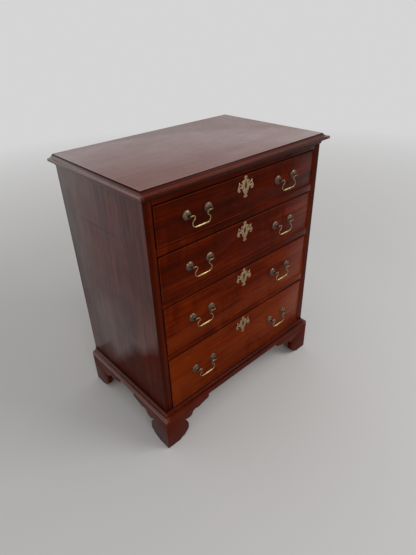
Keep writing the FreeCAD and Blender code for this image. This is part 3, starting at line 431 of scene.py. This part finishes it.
def bare_wood(name, axis, light, dark, tidemark=0.5, planks=(), lip=()):
    """Unpolished oak or pine: open grain, dust and darker handling marks."""
    recipe = Recipe(name)
    place = recipe.place
    if planks:
        start, wide = planks
        count = recipe.times(recipe.maths("SUBTRACT", recipe.part_of(place, X), start), 1 / wide)
        number = recipe.maths("FLOOR", count)
        joint = recipe.maths("ABSOLUTE", recipe.maths("SUBTRACT", count, recipe.maths(
            "ROUND", count)))
        place = recipe.vectors("ADD", place, recipe.times(number, 0.73))
    along = recipe.mapped(place, (1, 1, 1), turn=grain_turn(axis))
    along = recipe.wandering(along, 1.8, 0.05)
    rings = recipe.noise(recipe.mapped(along, (1.1, 30, 30)), 1, detail=4, distortion=1.4)
    fibres = recipe.noise(recipe.mapped(along, (14, 420, 420)), 1, detail=3)
    dust = recipe.noise(recipe.place, 5, detail=5, roughness=0.6)
    knots = recipe.specks(recipe.mapped(along, (2.2, 6, 6)), 1)
    share = recipe.total(recipe.ramp(rings, 0.36, 0.64, 0, 0.62),
                         recipe.ramp(fibres, 0.4, 0.7, 0, 0.38))
    wood = recipe.mix(share, light, dark)
    wood = recipe.mix(recipe.ramp(dust, 0.45, 0.75, 0, tidemark), wood, dark)
    wood = recipe.mix(recipe.ramp(knots, 0.02, 0.09, 0.8, 0), wood, (0.07, 0.03, 0.014))
    if planks:
        tone = recipe.noise(recipe.mapped(place, (0.9, 0.1, 0)), 1, detail=0)
        wood = recipe.mix(recipe.ramp(tone, 0.35, 0.65, 0, 0.45), wood, dark)
        wood = recipe.mix(recipe.ramp(joint, 0.005, 0.009, 1, 0), wood, (0.02, 0.012, 0.007))
    if lip:
        front = recipe.ramp(recipe.part_of(recipe.place, Y), FRONT_FACE + 0.006,
                            FRONT_FACE + 0.003)
        wood = recipe.mix(front, wood, recipe.mix(share, lip, GAP_BLACK))
    relief = recipe.bump(recipe.total(fibres, recipe.times(rings, 0.6)), 0.25, 0.0008)
    return recipe.finish(base_color=wood, roughness=recipe.ramp(dust, 0.3, 0.7, 0.6, 0.85),
                         normal=relief, specular_ior_level=0.35)


def old_brass(name, skin, gloss, bright, dull, keyholes=False):
    """Cast brass: rubbed bright in places, with a mottled brown skin elsewhere."""
    recipe = Recipe(name)
    blotch = recipe.noise(recipe.place, 150, detail=6, roughness=0.68)
    grit = recipe.noise(recipe.place, 900, detail=3)
    share = recipe.ramp(recipe.maths("ADD", blotch, skin), 0.62, 1.05)
    metal = recipe.mix(share, bright, dull)
    metal = recipe.mix(recipe.ramp(grit, 0.58, 0.72, 0, 0.4), metal, (0.05, 0.035, 0.022))
    # painted shade: a dark oval round each keyhole
    if keyholes:
        metal = recipe.mix(recipe.keyhole_shade(0.0027, 0.0100), metal, GAP_BLACK)
    rough = recipe.total(recipe.ramp(share, 0, 1, gloss, gloss + 0.2),
                         recipe.ramp(grit, 0.4, 0.7, 0, 0.08))
    relief = recipe.bump(blotch, 0.25, 0.0004)
    relief = recipe.bump(grit, 0.10, 0.0001, relief)
    return recipe.finish(base_color=metal, metallic=1.0, roughness=rough, normal=relief)


def dull_iron(name):
    """Filed wrought iron with specks of rust."""
    colours = bpy.context.scene.chest_colours
    recipe = Recipe(name)
    rust = recipe.noise(recipe.place, 140, detail=6, roughness=0.7)
    filing = recipe.noise(recipe.mapped(recipe.place, (60, 900, 900)), 1, detail=2)
    metal = recipe.mix(recipe.ramp(rust, 0.52, 0.72, 0, 0.8), tuple(colours.iron),
                       (0.13, 0.055, 0.025))
    relief = recipe.bump(recipe.maths("ADD", rust, filing), 0.3, 0.0005)
    return recipe.finish(base_color=metal, metallic=0.8, roughness=recipe.ramp(rust, 0.4, 0.7,
                         0.42, 0.7), normal=relief)


POLISH_GLOW = (1, 0.45, 0.28, 1)
# Near-black: painted shade in the drawer gaps and keyholes, and the colour of the scratch and of
# the stained lip's grain.
GAP_BLACK = (0.004, 0.002, 0.0012)
SCAR_BROWN = (0.20, 0.085, 0.045)
# Lighter rim of the top: partly wear, partly a painted highlight.
RIM_WEAR_AND_HIGHLIGHT = (0.42, 0.26, 0.24)
# The painted shade lines on the rails: how far above each drawer's beads they lie, and how dark
# they are.
GAP_ABOVE = 0.002
GAP_SHARE = 0.9
NOSE_TOP = 0.841
TOP_STEP = (0.8495, 0.8499)
RIM_HALF = 0.3345
OUTER_STRIP = 0.3218
# reflection_haze is (direction, start, end, change of coat), a painted reflection; corner_shade
# is (dark at, clean at, change of lightness), painted shade above the base moulding; end_sheen
# is (start, coat) outwards, a painted sheen at the ends; scratch is (height, middle, half its
# length).
POLISHES = {
    "mahogany_top": dict(
        deep=-0.05, figure=0.45, gloss=0.24, level=0.08, coat=1.0, film=0.2, arris_wear_and_light=0.35,
        faded_sheen=0.85, nosing=True, end_sheen=(0.3400, 0.75),
        reflection_haze=((0.45, 0.9, 0), -0.13, 0.08, -0.60)),
    "mahogany_sides": dict(
        tint=0.35, deep=0.05, gloss=0.3, level=0.03, coat=0.03, film=0.3, gap_shading=True,
        facing=True, corner_shade=(0.141, 0.155, -0.6), scratch=(0.6885, 0.036, 0.115),
        reflection_haze=((0, 0.9, 1), 0.215, 0.262, 0.80)),
    "mahogany_fronts": dict(
        tint=0.66, height_shading=0.32, figure=0.8, deep=-0.08, gloss=0.3, level=0.02, film=0.28,
        arris_wear_and_light=-0.1, gap_shading=True, keyholes=True, reflection_haze=((1, 0, 0), 0.18, 0.36, 0.45)),
    "mahogany_beads": dict(tint=0.9, height_shading=0.15, level=0.06, arris_wear_and_light=0.4, gap_shading=True),
    "mahogany_rails": dict(
        tint=0.7, deep=0.10, height_shading=0.12, figure=1.0, level=0.02, film=0.28, arris_wear_and_light=-0.7,
        gap_shading=True, rails=True, reflection_haze=((1, 0, 0), 0.18, 0.36, 0.4)),
    "mahogany_mouldings": dict(
        gloss=0.26, coat=0.08, arris_wear_and_light=0.3, end_sheen=(0.336, 0.6), corner_shade=(0.1408, 0.1393, -0.45)),
    "mahogany_feet": dict(tint=0.4, gloss=0.32, level=0.06, arris_wear_and_light=0.2, end_sheen=(0.3505, 0.25)),
}
# How brown the skin of each brass is, and how rough it is where it is bright.
BRASSES = {"brass_handles": (0.40, 0.24), "brass_roses": (0.58, 0.16),
           "brass_grips": (0.22, 0.22)}
LOOKS = {"back_boards": "pine_back", "bottom_board": "pine_stained"}
BACK_PLANKS = 5
KEYHOLE_DOWN = 0.027
FINISHES = {}


def finish_for(slot, axis, rubbed=False):
    """The material of one of the record's slots, with its grain along an axis."""
    key = (slot, axis, rubbed)
    if key not in FINISHES:
        FINISHES[key] = make_finish(slot, axis, rubbed)
    return FINISHES[key]


def make_finish(slot, axis, rubbed):
    colours = bpy.context.scene.chest_colours
    bright, brown = tuple(colours.brass_bright), tuple(colours.brass_brown)
    oak = tuple(colours.oak_light), tuple(colours.oak_dark)
    pine = tuple(colours.pine_light), tuple(colours.pine_dark)
    name = f"{slot}_{axis.lower()}"
    if slot in POLISHES:
        return polished_mahogany(name + "_rubbed" * rubbed, axis, rubbed, **POLISHES[slot])
    if slot in BRASSES:
        return old_brass(name, *BRASSES[slot], bright, brown)
    if slot == "brass_plates":
        # less skin on the arris: partly wear, partly a painted highlight
        return old_brass(name, 0.05 if rubbed else 0.30, 0.26, tuple(colours.brass_rose), brown,
                         keyholes=True)
    if slot == "oak_linings":
        return bare_wood(name, axis, *oak)
    if slot == "pine_back":
        lowest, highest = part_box("back_boards")
        wide = (highest[X] - lowest[X]) / BACK_PLANKS
        return bare_wood(name, axis, *pine, planks=(lowest[X], wide))
    if slot == "pine_stained":
        return bare_wood(name, axis, *pine, lip=tuple(colours.red))
    if slot == "pine_carcass":
        return bare_wood(name, axis, *pine)
    if slot == "iron_locks":
        return dull_iron(name)
    raise KeyError(slot)


# ---- making pieces

def body_of_node(node):
    """The name of the body that a node belongs to."""
    for body, nodes in frame["record"]["behaviour"]["bodies"].items():
        if node in nodes:
            return body
    raise KeyError(node)


def slot_of_node(node):
    """The record's material slot of a node."""
    for entry in frame["record"]["subparts"]:
        if entry["node"] == node:
            return entry["material_slot"]
    raise KeyError(node)


def add_piece(name, mesh, body, replaced=()):
    """Puts a finished mesh in the scene, riding on a body of the chest."""
    piece = bpy.data.objects.new(name, mesh)
    bpy.context.scene.collection.objects.link(piece)
    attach(piece, body)
    if replaced:
        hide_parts(*replaced)
    return piece


def boards_of(model):
    """The separate boards of a mesh, each as a list of its faces."""
    left = set(model.faces)
    groups = []
    while left:
        group = [left.pop()]
        for face in group:
            near = {other for edge in face.edges for other in edge.link_faces}
            fresh = near & left
            left -= fresh
            group.extend(fresh)
        groups.append(group)
    return groups


def long_axis(faces):
    """The axis that a board is longest along."""
    spots = [vert.co for face in faces for vert in face.verts]
    spans = [max(spot[i] for spot in spots) - min(spot[i] for spot in spots) for i in range(3)]
    return "XYZ"[spans.index(max(spans))]


def merged_copy(node):
    """A closed copy of a CAD node's mesh, with its flat faces whole again."""
    model = bmesh.new()
    model.from_mesh(frame["nodes"][node].data)
    bmesh.ops.remove_doubles(model, verts=model.verts[:], dist=0.00001)
    bmesh.ops.dissolve_limit(model, angle_limit=math.radians(0.5), verts=model.verts[:],
                             edges=model.edges[:])
    return model


def sharp_edges(model, least=math.radians(25)):
    """The edges between faces that meet at more than a small angle."""
    return [edge for edge in model.edges
            if len(edge.link_faces) == 2 and edge.calc_face_angle(0) > least]


def softened(model, edges, offset, segments=2):
    """Rounds edges, and gives back the narrow faces that the rounding made."""
    made = bmesh.ops.bevel(model, geom=edges, affect="EDGES", offset=offset, segments=segments,
                           profile=0.5, material=-1, clamp_overlap=True, offset_type="OFFSET")
    return made["faces"]


def eased_boards(node, arris, axis=None, smooth=math.radians(40)):
    """Replaces a node by its own boards with rubbed corners and grain along each board."""
    model = merged_copy(node)
    slot = slot_of_node(node)
    looks = []
    for board in boards_of(model):
        grain = axis or long_axis(board)
        if grain not in looks:
            looks.append(grain)
        for face in board:
            face.material_index = looks.index(grain)
    for face in softened(model, sharp_edges(model), arris):
        face.material_index = face.material_index % len(looks) + len(looks)
    for face in model.faces:
        face.smooth = True
    mesh = bpy.data.meshes.new(node + "_boards")
    model.to_mesh(mesh)
    model.free()
    mesh.set_sharp_from_angle(angle=smooth)
    look = LOOKS.get(node, slot)
    # The second set of finishes goes on the arris faces: partly wear, partly painted highlight
    # and shade.
    for rubbed in (False, True):
        for grain in looks:
            mesh.materials.append(finish_for(look, grain, rubbed and slot in POLISHES))
    return add_piece(node + "_eased", mesh, body_of_node(node), (node,))


def turned(model, profile, spot, facing=Vector((0, -1, 0)), steps=32):
    """Spins a profile of (out, radius) about a line that stands out from a surface."""
    verts = [model.verts.new((radius, 0, out)) for out, radius in profile]
    edges = [model.edges.new(pair) for pair in zip(verts, verts[1:])]
    known = set(model.verts) - set(verts)
    bmesh.ops.spin(model, geom=verts + edges, cent=(0, 0, 0), axis=(0, 0, 1),
                   angle=2 * math.pi, steps=steps, use_merge=True)
    fresh = [vert for vert in model.verts if vert not in known]
    place = Matrix.Translation(spot) @ facing.to_track_quat("Z", "Y").to_matrix().to_4x4()
    bmesh.ops.transform(model, matrix=place, verts=fresh)
    bmesh.ops.remove_doubles(model, verts=fresh, dist=0.000002)


def finished_mesh(model, name, materials, smooth=math.radians(35)):
    """A mesh made from the model, facing outwards, smooth on curves and sharp at corners."""
    bmesh.ops.recalc_face_normals(model, faces=model.faces[:])
    for face in model.faces:
        face.smooth = True
    mesh = bpy.data.meshes.new(name)
    model.to_mesh(mesh)
    model.free()
    mesh.set_sharp_from_angle(angle=smooth)
    for material in materials:
        mesh.materials.append(material)
    return mesh


# ---- handles

# Half of a post's outline as (out from the drawer front, radius), in metres: the domed
# rose, its narrow neck, and the round head that the bail's end enters.
POST_PROFILE = [
    (-0.0003, 0.0000), (0.0000, 0.0140), (0.0007, 0.0140), (0.0012, 0.0137), (0.0018, 0.0131),
    (0.0032, 0.0117), (0.0043, 0.0100), (0.0051, 0.0081), (0.0056, 0.0064), (0.0058, 0.0053),
    (0.0055, 0.0046), (0.0061, 0.0040), (0.0070, 0.0033), (0.0085, 0.0028), (0.0104, 0.0027),
    (0.0110, 0.0030), (0.0116, 0.0033), (0.0128, 0.0035), (0.0152, 0.0035), (0.0162, 0.0031),
    (0.0168, 0.0022), (0.0171, 0.0000),
]
BORE_HALF = 0.036
LOBE, BEND = 0.0105, 0.0065
LOBE_X, SIDEWAYS = 0.0195, 0.008
GRIP_FLAT, GRIP_END, GRIP_BRIGHT = 0.007, 0.0195, 0.0235


def handle_places(number):
    """Where the hinge line of each of a drawer's bails is, from the frame's own joints."""
    places = {}
    for hand in HANDS:
        name = f"drawer_{number}_bail_{hand}_hinge"
        joint = next(item for item in frame["record"]["behaviour"]["joints"]
                     if item["name"] == name)
        places[hand] = Vector(joint["pos_m"])
    return places


def post_spots(number, y):
    """The middle of each of a drawer's four posts, on a plane at y."""
    return [Vector((place.x + side * BORE_HALF, y, place.z))
            for place in handle_places(number).values() for side in (-1, 1)]


def posts(number):
    """The four turned posts with their roses."""
    sizes = bpy.context.scene.chest_sizes
    scale = sizes.rose_radius / POST_PROFILE[1][1]
    outline = [(out, radius * scale) for out, radius in POST_PROFILE]
    model = bmesh.new()
    for spot in post_spots(number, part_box(f"drawer_{number}_front")[LOW][Y]):
        turned(model, outline, spot)
    mesh = finished_mesh(model, f"drawer_{number}_posts", [finish_for("brass_roses", "X")])
    return add_piece(f"drawer_{number}_roses_and_posts", mesh, f"drawer_{number}",
                     (f"drawer_{number}_handle_mounts",))


THREADS = 5
THREAD_PITCH, SHANK_RADIUS, THREAD_DEEP = 0.0011, 0.0021, 0.0004
NUT_THICK = 0.0032


def nuts(number):
    """The square nuts and threaded shank ends behind a drawer front."""
    width = bpy.context.scene.chest_sizes.nut_width
    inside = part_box(f"drawer_{number}_front")[HIGH][Y]
    shank = [(0, 0), (0, SHANK_RADIUS), (NUT_THICK, SHANK_RADIUS)]
    for turn in range(THREADS):
        start = NUT_THICK + turn * THREAD_PITCH
        shank.append((start + THREAD_PITCH / 2, SHANK_RADIUS - THREAD_DEEP))
        shank.append((start + THREAD_PITCH, SHANK_RADIUS))
    shank.append((shank[-1][0] + THREAD_DEEP, SHANK_RADIUS - THREAD_DEEP))
    shank.append((shank[-1][0], 0))
    model = bmesh.new()
    for index, spot in enumerate(post_spots(number, inside)):
        known = set(model.verts)
        bmesh.ops.create_cube(model, size=1)
        nut = [vert for vert in model.verts if vert not in known]
        shape = (Matrix.Translation(spot + Vector((0, NUT_THICK / 2, 0)))
                 @ Matrix.Rotation(0.3 + index * 1.1, 4, "Y")
                 @ Matrix.Diagonal((width, NUT_THICK, width, 1)))
        bmesh.ops.transform(model, matrix=shape, verts=nut)
        softened(model, list({edge for vert in nut for edge in vert.link_edges}), 0.0004)
        turned(model, shank, spot, Vector((0, 1, 0)), 16)
    mesh = finished_mesh(model, f"drawer_{number}_nuts", [finish_for("iron_locks", "X")],
                         math.radians(30))
    return add_piece(f"drawer_{number}_handle_nuts", mesh, f"drawer_{number}")


def bail_path():
    """Points along half of a bail from the middle of its grip: (x, z, share of grip)."""
    rise = math.sqrt((LOBE + BEND) ** 2 - SIDEWAYS ** 2)
    lobe_z = -BEND - rise
    neck_x = LOBE_X + SIDEWAYS
    meeting = math.atan2(rise, SIDEWAYS)
    points = []
    for step in range(11):
        x = LOBE_X * step / 10
        taper = min(max((x - GRIP_FLAT) / (GRIP_END - GRIP_FLAT), 0), 1)
        points.append((x, lobe_z - LOBE, 1 - taper ** 1.5))
    for step in range(1, 15):
        turn = -math.pi / 2 + (meeting + math.pi / 2) * step / 14
        points.append((LOBE_X + LOBE * math.cos(turn), lobe_z + LOBE * math.sin(turn), 0))
    for step in range(1, 13):
        turn = meeting + (-math.pi / 2 - meeting) * step / 12
        points.append((neck_x - BEND * math.cos(turn), -BEND - BEND * math.sin(turn), 0))
    points.append((BORE_HALF - 0.0022, 0, 0))
    return points


def ring_edges(*rings):
    """The edges that lie within one of the rings."""
    edges = []
    for ring in rings:
        members = set(ring)
        edges += {edge for vert in ring for edge in vert.link_edges
                  if edge.verts[0] in members and edge.verts[1] in members}
    return edges


def bail(number, hand):
    """A round swan-neck wire, carried along its path ring by ring, with a swelling grip."""
    sizes = bpy.context.scene.chest_sizes
    half = bail_path()
    path = [(-x, z, grip) for x, z, grip in reversed(half[1:])] + half
    pivot = handle_places(number)[hand]
    model = bmesh.new()
    rings = []
    for index, (x, z, grip) in enumerate(path):
        before = path[max(index - 1, 0)]
        after = path[min(index + 1, len(path) - 1)]
        lean = math.atan2(after[1] - before[1], after[0] - before[0])
        radius = sizes.wire_radius + (sizes.grip_radius - sizes.wire_radius) * grip
        turn = Matrix.Rotation(-lean, 4, "Y") @ Matrix.Rotation(math.pi / 2, 4, "Y")
        spot = Matrix.Translation(pivot + Vector((x, 0, z))) @ turn
        rings.append(bmesh.ops.create_circle(model, segments=sizes.wire_sides, radius=radius,
                                             matrix=spot, cap_ends=False)["verts"])
    for here, after in zip(rings, rings[1:]):
        bmesh.ops.bridge_loops(model, edges=ring_edges(here, after))
    for ring in (rings[0], rings[-1]):
        bmesh.ops.contextual_create(model, geom=ring)
    for face in model.faces:
        middle = face.calc_center_median() - pivot
        if abs(middle.x) < GRIP_BRIGHT and middle.z < -0.024:
            face.material_index = 1
    name = f"drawer_{number}_bail_{hand}"
    mesh = finished_mesh(model, name + "_wire", [finish_for("brass_handles", "X"),
                                                 finish_for("brass_grips", "X")])
    return add_piece(name + "_swan_neck", mesh, name, (name,))


# ---- key plates and locks

PIN_PROFILE = [(0.0000, 0.0013), (0.0004, 0.0012), (0.0007, 0.0008), (0.0008, 0.0000)]
PIN_INSET = 0.0042


def key_plate(number):
    """A pierced key plate with rubbed edges, held by two small round-headed pins."""
    node = f"drawer_{number}_escutcheon"
    lowest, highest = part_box(node)
    model = merged_copy(node)
    rim = [edge for edge in sharp_edges(model)
           if all(abs(vert.co.y - lowest[Y]) < 0.00005 for vert in edge.verts)]
    for face in softened(model, rim, 0.0006, 3):
        face.material_index = 1
    for z in (lowest[Z] + PIN_INSET, highest[Z] - PIN_INSET):
        turned(model, PIN_PROFILE, Vector((0, lowest[Y], z)), steps=16)
    mesh = finished_mesh(model, node + "_plate", [finish_for("brass_plates", "X"),
                                                  finish_for("brass_plates", "X", True)])
    return add_piece(node + "_cast", mesh, f"drawer_{number}", (node,))


def screw(model, spot, radius, turn):
    """A domed screw head with a slot, facing the back of the chest."""
    known = set(model.verts)
    disc = bmesh.ops.create_circle(model, cap_ends=True, segments=20, radius=radius)["verts"]
    head = bmesh.ops.extrude_face_region(model, geom=[disc[0].link_faces[0]])["geom"]
    top = next(item for item in head if isinstance(item, bmesh.types.BMFace))
    bmesh.ops.translate(model, verts=top.verts[:], vec=(0, 0, radius * 0.35))
    softened(model, top.edges[:], radius * 0.28, 3)
    top = max((face for face in model.faces if set(face.verts).isdisjoint(known)),
              key=lambda face: face.calc_center_median().z + face.calc_area())
    pieces = [top, *top.edges, *top.verts]
    for side in (-1, 1):
        cut = bmesh.ops.bisect_plane(model, geom=pieces, dist=0.000001, plane_no=(side, 0, 0),
                                     plane_co=(side * radius * 0.14, 0, 0))
        pieces = cut["geom"]
    slots = [item for item in pieces if isinstance(item, bmesh.types.BMFace)
             and abs(item.calc_center_median().x) < radius * 0.05
             and item.calc_center_median().z > radius * 0.3]
    sunk = bmesh.ops.extrude_face_region(model, geom=slots)["geom"]
    bmesh.ops.translate(model, vec=(0, 0, -radius * 0.3),
                        verts=[item for item in sunk if isinstance(item, bmesh.types.BMVert)])
    bmesh.ops.delete(model, geom=slots, context="FACES")
    fresh = [vert for vert in model.verts if vert not in known]
    place = (Matrix.Translation(spot) @ Matrix.Rotation(-math.pi / 2, 4, "X")
             @ Matrix.Rotation(turn, 4, "Z"))
    bmesh.ops.transform(model, matrix=place, verts=fresh)


SCREW_INSET_X, SCREW_INSET_Z = 0.0065, 0.0085


def lock_screws(number):
    """The four screws that hold a lock to the inside of its drawer front."""
    lowest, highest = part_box(f"drawer_{number}_lock")
    radius = bpy.context.scene.chest_sizes.screw_radius
    model = bmesh.new()
    for index, x in enumerate((lowest[X] + SCREW_INSET_X, highest[X] - SCREW_INSET_X)):
        for z in (lowest[Z] + SCREW_INSET_Z, highest[Z] - SCREW_INSET_Z):
            screw(model, Vector((x, highest[Y], z)), radius, 0.5 + index * 1.3 + z * 40)
    mesh = finished_mesh(model, f"drawer_{number}_screws", [finish_for("iron_locks", "X")])
    return add_piece(f"drawer_{number}_lock_screws", mesh, f"drawer_{number}")


NAIL_PROFILE = [(0, 1), (0.22, 0.92), (0.36, 0.55), (0.42, 0)]


def back_nails():
    """Hammered nails through the ends of the back planks."""
    radius = bpy.context.scene.chest_sizes.nail_radius
    lowest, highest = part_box("back_boards")
    outline = [(out * radius, share * radius) for out, share in NAIL_PROFILE]
    wide = (highest[X] - lowest[X]) / BACK_PLANKS
    model = bmesh.new()
    for plank in range(BACK_PLANKS):
        for side in (-0.32, 0.32):
            x = lowest[X] + wide * (plank + 0.5 + side)
            for z in (lowest[Z] + 0.014, highest[Z] - 0.0135):
                turned(model, outline, Vector((x, highest[Y], z)), Vector((0, 1, 0)), 8)
    mesh = finished_mesh(model, "nails", [finish_for("iron_locks", "X")], math.radians(20))
    return add_piece("back_board_nails", mesh, "chest")


# ---- operators

CASE_BOARDS = ("top_board", "cornice_mouldings", "base_mouldings", "side_left", "side_right",
               "top_rail_front", "divider_rails", "feet_front", "feet_back")
BARE_BOARDS = ("bottom_board", "back_boards", "top_rail_back", "dust_boards", "drawer_stops",
               "foot_blocks")


class CHEST_OT_case(bpy.types.Operator):
    """Eases the corners of the case and lays the grain along its boards"""
    bl_idname = "chest.case"
    bl_label = "Case and feet"

    def execute(self, context):
        sizes = context.scene.chest_sizes
        for node in CASE_BOARDS:
            fine = "moulding" in node or node == "top_board"
            axis = "X" if node == "top_board" else None
            eased_boards(node, sizes.fine_arris if fine else sizes.arris, axis)
        return {"FINISHED"}


class CHEST_OT_carcass(bpy.types.Operator):
    """Eases the bare boards inside and behind the case, and nails the back"""
    bl_idname = "chest.carcass"
    bl_label = "Carcass and back"

    def execute(self, context):
        for node in BARE_BOARDS:
            eased_boards(node, context.scene.chest_sizes.fine_arris)
        back_nails()
        return {"FINISHED"}


class CHEST_OT_drawers(bpy.types.Operator):
    """Makes the drawer fronts, their beads and their oak linings"""
    bl_idname = "chest.drawers"
    bl_label = "Drawers"

    def execute(self, context):
        arris = context.scene.chest_sizes.fine_arris
        for number in DRAWERS:
            for part, axis in (("front", "X"), ("cock_beads", None), ("sides", None),
                               ("back", None), ("bottom", "Y")):
                eased_boards(f"drawer_{number}_{part}", arris, axis)
        return {"FINISHED"}


class CHEST_OT_handles(bpy.types.Operator):
    """Turns the posts and roses, bends the swan-neck bails and adds the nuts"""
    bl_idname = "chest.handles"
    bl_label = "Handles"

    def execute(self, context):
        for number in DRAWERS:
            posts(number)
            nuts(number)
            for hand in HANDS:
                bail(number, hand)
        return {"FINISHED"}


class CHEST_OT_key_plates(bpy.types.Operator):
    """Makes the pierced key plates"""
    bl_idname = "chest.key_plates"
    bl_label = "Key plates"

    def execute(self, context):
        for number in DRAWERS:
            key_plate(number)
        return {"FINISHED"}


class CHEST_OT_locks(bpy.types.Operator):
    """Files the locks and bolts and screws them on"""
    bl_idname = "chest.locks"
    bl_label = "Locks"

    def execute(self, context):
        arris = context.scene.chest_sizes.fine_arris
        for number in DRAWERS:
            eased_boards(f"drawer_{number}_lock", arris, "X")
            eased_boards(f"drawer_{number}_lock_bolt", arris, "X")
            lock_screws(number)
        return {"FINISHED"}


FLOOR_REACH = 9.0
FADE_START, FADE_END = 1.3, 4.0


def seen_rays(nodes, links):
    """1 for what the camera sees directly, in gloss or through glass, and 0 for other light."""
    paths = nodes.new("ShaderNodeLightPath")
    seen = paths.outputs["Is Camera Ray"]
    for ray in ("Is Glossy Ray", "Is Transmission Ray"):
        either = nodes.new("ShaderNodeMath")
        either.operation = "MAXIMUM"
        links.new(seen, either.inputs[0])
        links.new(paths.outputs[ray], either.inputs[1])
        seen = either.outputs[0]
    return seen


def blended(nodes, links, share, first, second, output):
    """Joins two shaders, mixed by a share, to an output's surface."""
    blend = nodes.new("ShaderNodeMixShader")
    for source, socket in zip((share, first, second), blend.inputs):
        links.new(source, socket)
    links.new(blend.outputs[0], output.inputs["Surface"])


def pale_floor(colour, backdrop):
    """The floor's finish: plain nearby, and blending into the backdrop far off."""
    recipe = Recipe("pale_floor")
    recipe.finish(base_color=(*colour, 1), roughness=0.85, specular_ior_level=0.2)
    nodes, links = recipe.tree.nodes, recipe.tree.links
    away = recipe.vectors("LENGTH", recipe.place, result="Value")
    share = recipe.times(recipe.ramp(away, FADE_START, FADE_END), seen_rays(nodes, links))
    glow = recipe.node("ShaderNodeEmission", "Emission", {"Color": (*backdrop, 1)})
    blended(nodes, links, share, recipe.shader.outputs["BSDF"], glow, recipe.output)
    return recipe.material


def soft_room(strength, backdrop):
    """A world that lights the chest evenly, and shows the backdrop's colour when seen."""
    world = bpy.data.worlds.new("soft_room")
    world.use_nodes = True
    nodes, links = world.node_tree.nodes, world.node_tree.links
    light = nodes["Background"]
    light.inputs["Color"].default_value = (1, 0.99, 0.98, 1)
    light.inputs["Strength"].default_value = strength
    shown = nodes.new("ShaderNodeBackground")
    shown.inputs["Color"].default_value = (*backdrop, 1)
    blended(nodes, links, seen_rays(nodes, links), light.outputs[0], shown.outputs[0],
            nodes["World Output"])
    return world


def floor_sheet(material):
    model = bmesh.new()
    bmesh.ops.create_grid(model, x_segments=1, y_segments=1, size=FLOOR_REACH)
    mesh = bpy.data.meshes.new("floor")
    model.to_mesh(mesh)
    model.free()
    mesh.materials.append(material)
    sheet = bpy.data.objects.new("floor", mesh)
    bpy.context.scene.collection.objects.link(sheet)


def soft_lamp(name, place, aim, size, power):
    lamp_data = bpy.data.lights.new(name, "AREA")
    lamp_data.shape = "RECTANGLE"
    lamp_data.size, lamp_data.size_y = size
    lamp_data.energy = power
    lamp = bpy.data.objects.new(name, lamp_data)
    lamp.location = place
    lamp.rotation_euler = (Vector(aim) - Vector(place)).to_track_quat("-Z", "Y").to_euler()
    bpy.context.scene.collection.objects.link(lamp)


CAMERA_SPOT = (-0.815, -0.748)
CAMERA_HEIGHT = 1.174
CAMERA_YAW = math.radians(-41.77)
CAMERA_PITCH = math.radians(-32.15)
CAMERA_ROLL = math.radians(-1.88)


def place_camera(scene):
    """A camera in front of the left corner, looking down on the chest."""
    lens = bpy.data.cameras.new("view")
    lens.sensor_width = 36
    lens.lens = scene.chest_sizes.lens
    eye = bpy.data.objects.new("view", lens)
    scene.collection.objects.link(eye)
    ahead = Vector((-math.sin(CAMERA_YAW) * math.cos(CAMERA_PITCH),
                    math.cos(CAMERA_YAW) * math.cos(CAMERA_PITCH), math.sin(CAMERA_PITCH)))
    right = Vector((math.cos(CAMERA_YAW), math.sin(CAMERA_YAW), 0))
    up = right.cross(ahead)
    tilt_right = right * math.cos(CAMERA_ROLL) + up * math.sin(CAMERA_ROLL)
    tilt_up = up * math.cos(CAMERA_ROLL) - right * math.sin(CAMERA_ROLL)
    turn = Matrix((tilt_right, tilt_up, -ahead)).transposed().to_4x4()
    spot = Vector((CAMERA_SPOT[0], CAMERA_SPOT[1] + FRONT_FACE, CAMERA_HEIGHT))
    eye.matrix_world = Matrix.Translation(spot) @ turn
    scene.camera = eye


class CHEST_OT_stage(bpy.types.Operator):
    """Sets up the pale floor, the soft lamps and the camera"""
    bl_idname = "chest.stage"
    bl_label = "Floor, lamps and camera"

    def execute(self, context):
        scene = context.scene
        colours = scene.chest_colours
        backdrop = tuple(colours.backdrop)
        floor_sheet(pale_floor(tuple(colours.floor), backdrop))
        scene.world = soft_room(0.55, backdrop)
        soft_lamp("key", (1.5, -2.0, 2.4), aim=(0, 0, 0.3), size=(1.6, 1.6), power=32)
        soft_lamp("window", (-1.2, -2.8, 2.0), aim=(0, -0.2, 0.5), size=(0.8, 1.2), power=12)
        place_camera(scene)
        return {"FINISHED"}


class CHEST_PT_panel(bpy.types.Panel):
    """Lists the chest's sizes, colours and steps"""
    bl_idname = "CHEST_PT_panel"
    bl_label = "Chest"
    bl_space_type = "VIEW_3D"
    bl_region_type = "UI"
    bl_category = "Chest"

    def draw(self, context):
        for group in (context.scene.chest_sizes, context.scene.chest_colours):
            for name in group.__annotations__:
                self.layout.prop(group, name)
        for step in STEPS:
            self.layout.operator(step.bl_idname)


STEPS = (CHEST_OT_case, CHEST_OT_carcass, CHEST_OT_drawers, CHEST_OT_handles,
         CHEST_OT_key_plates, CHEST_OT_locks, CHEST_OT_stage)
CLASSES = (ChestSizes, ChestColours, *STEPS, CHEST_PT_panel)


def register():
    for item in CLASSES:
        bpy.utils.register_class(item)
    bpy.types.Scene.chest_sizes = PointerProperty(type=ChestSizes)
    bpy.types.Scene.chest_colours = PointerProperty(type=ChestColours)


def unregister():
    del bpy.types.Scene.chest_colours
    del bpy.types.Scene.chest_sizes
    for item in reversed(CLASSES):
        bpy.utils.unregister_class(item)


def main():
    register()
    bpy.context.scene.view_settings.view_transform = "Standard"
    bpy.ops.chest.case()
    bpy.ops.chest.carcass()
    bpy.ops.chest.drawers()
    bpy.ops.chest.handles()
    bpy.ops.chest.key_plates()
    bpy.ops.chest.locks()
    bpy.ops.chest.stage()


if __name__ == "__main__":
    main()
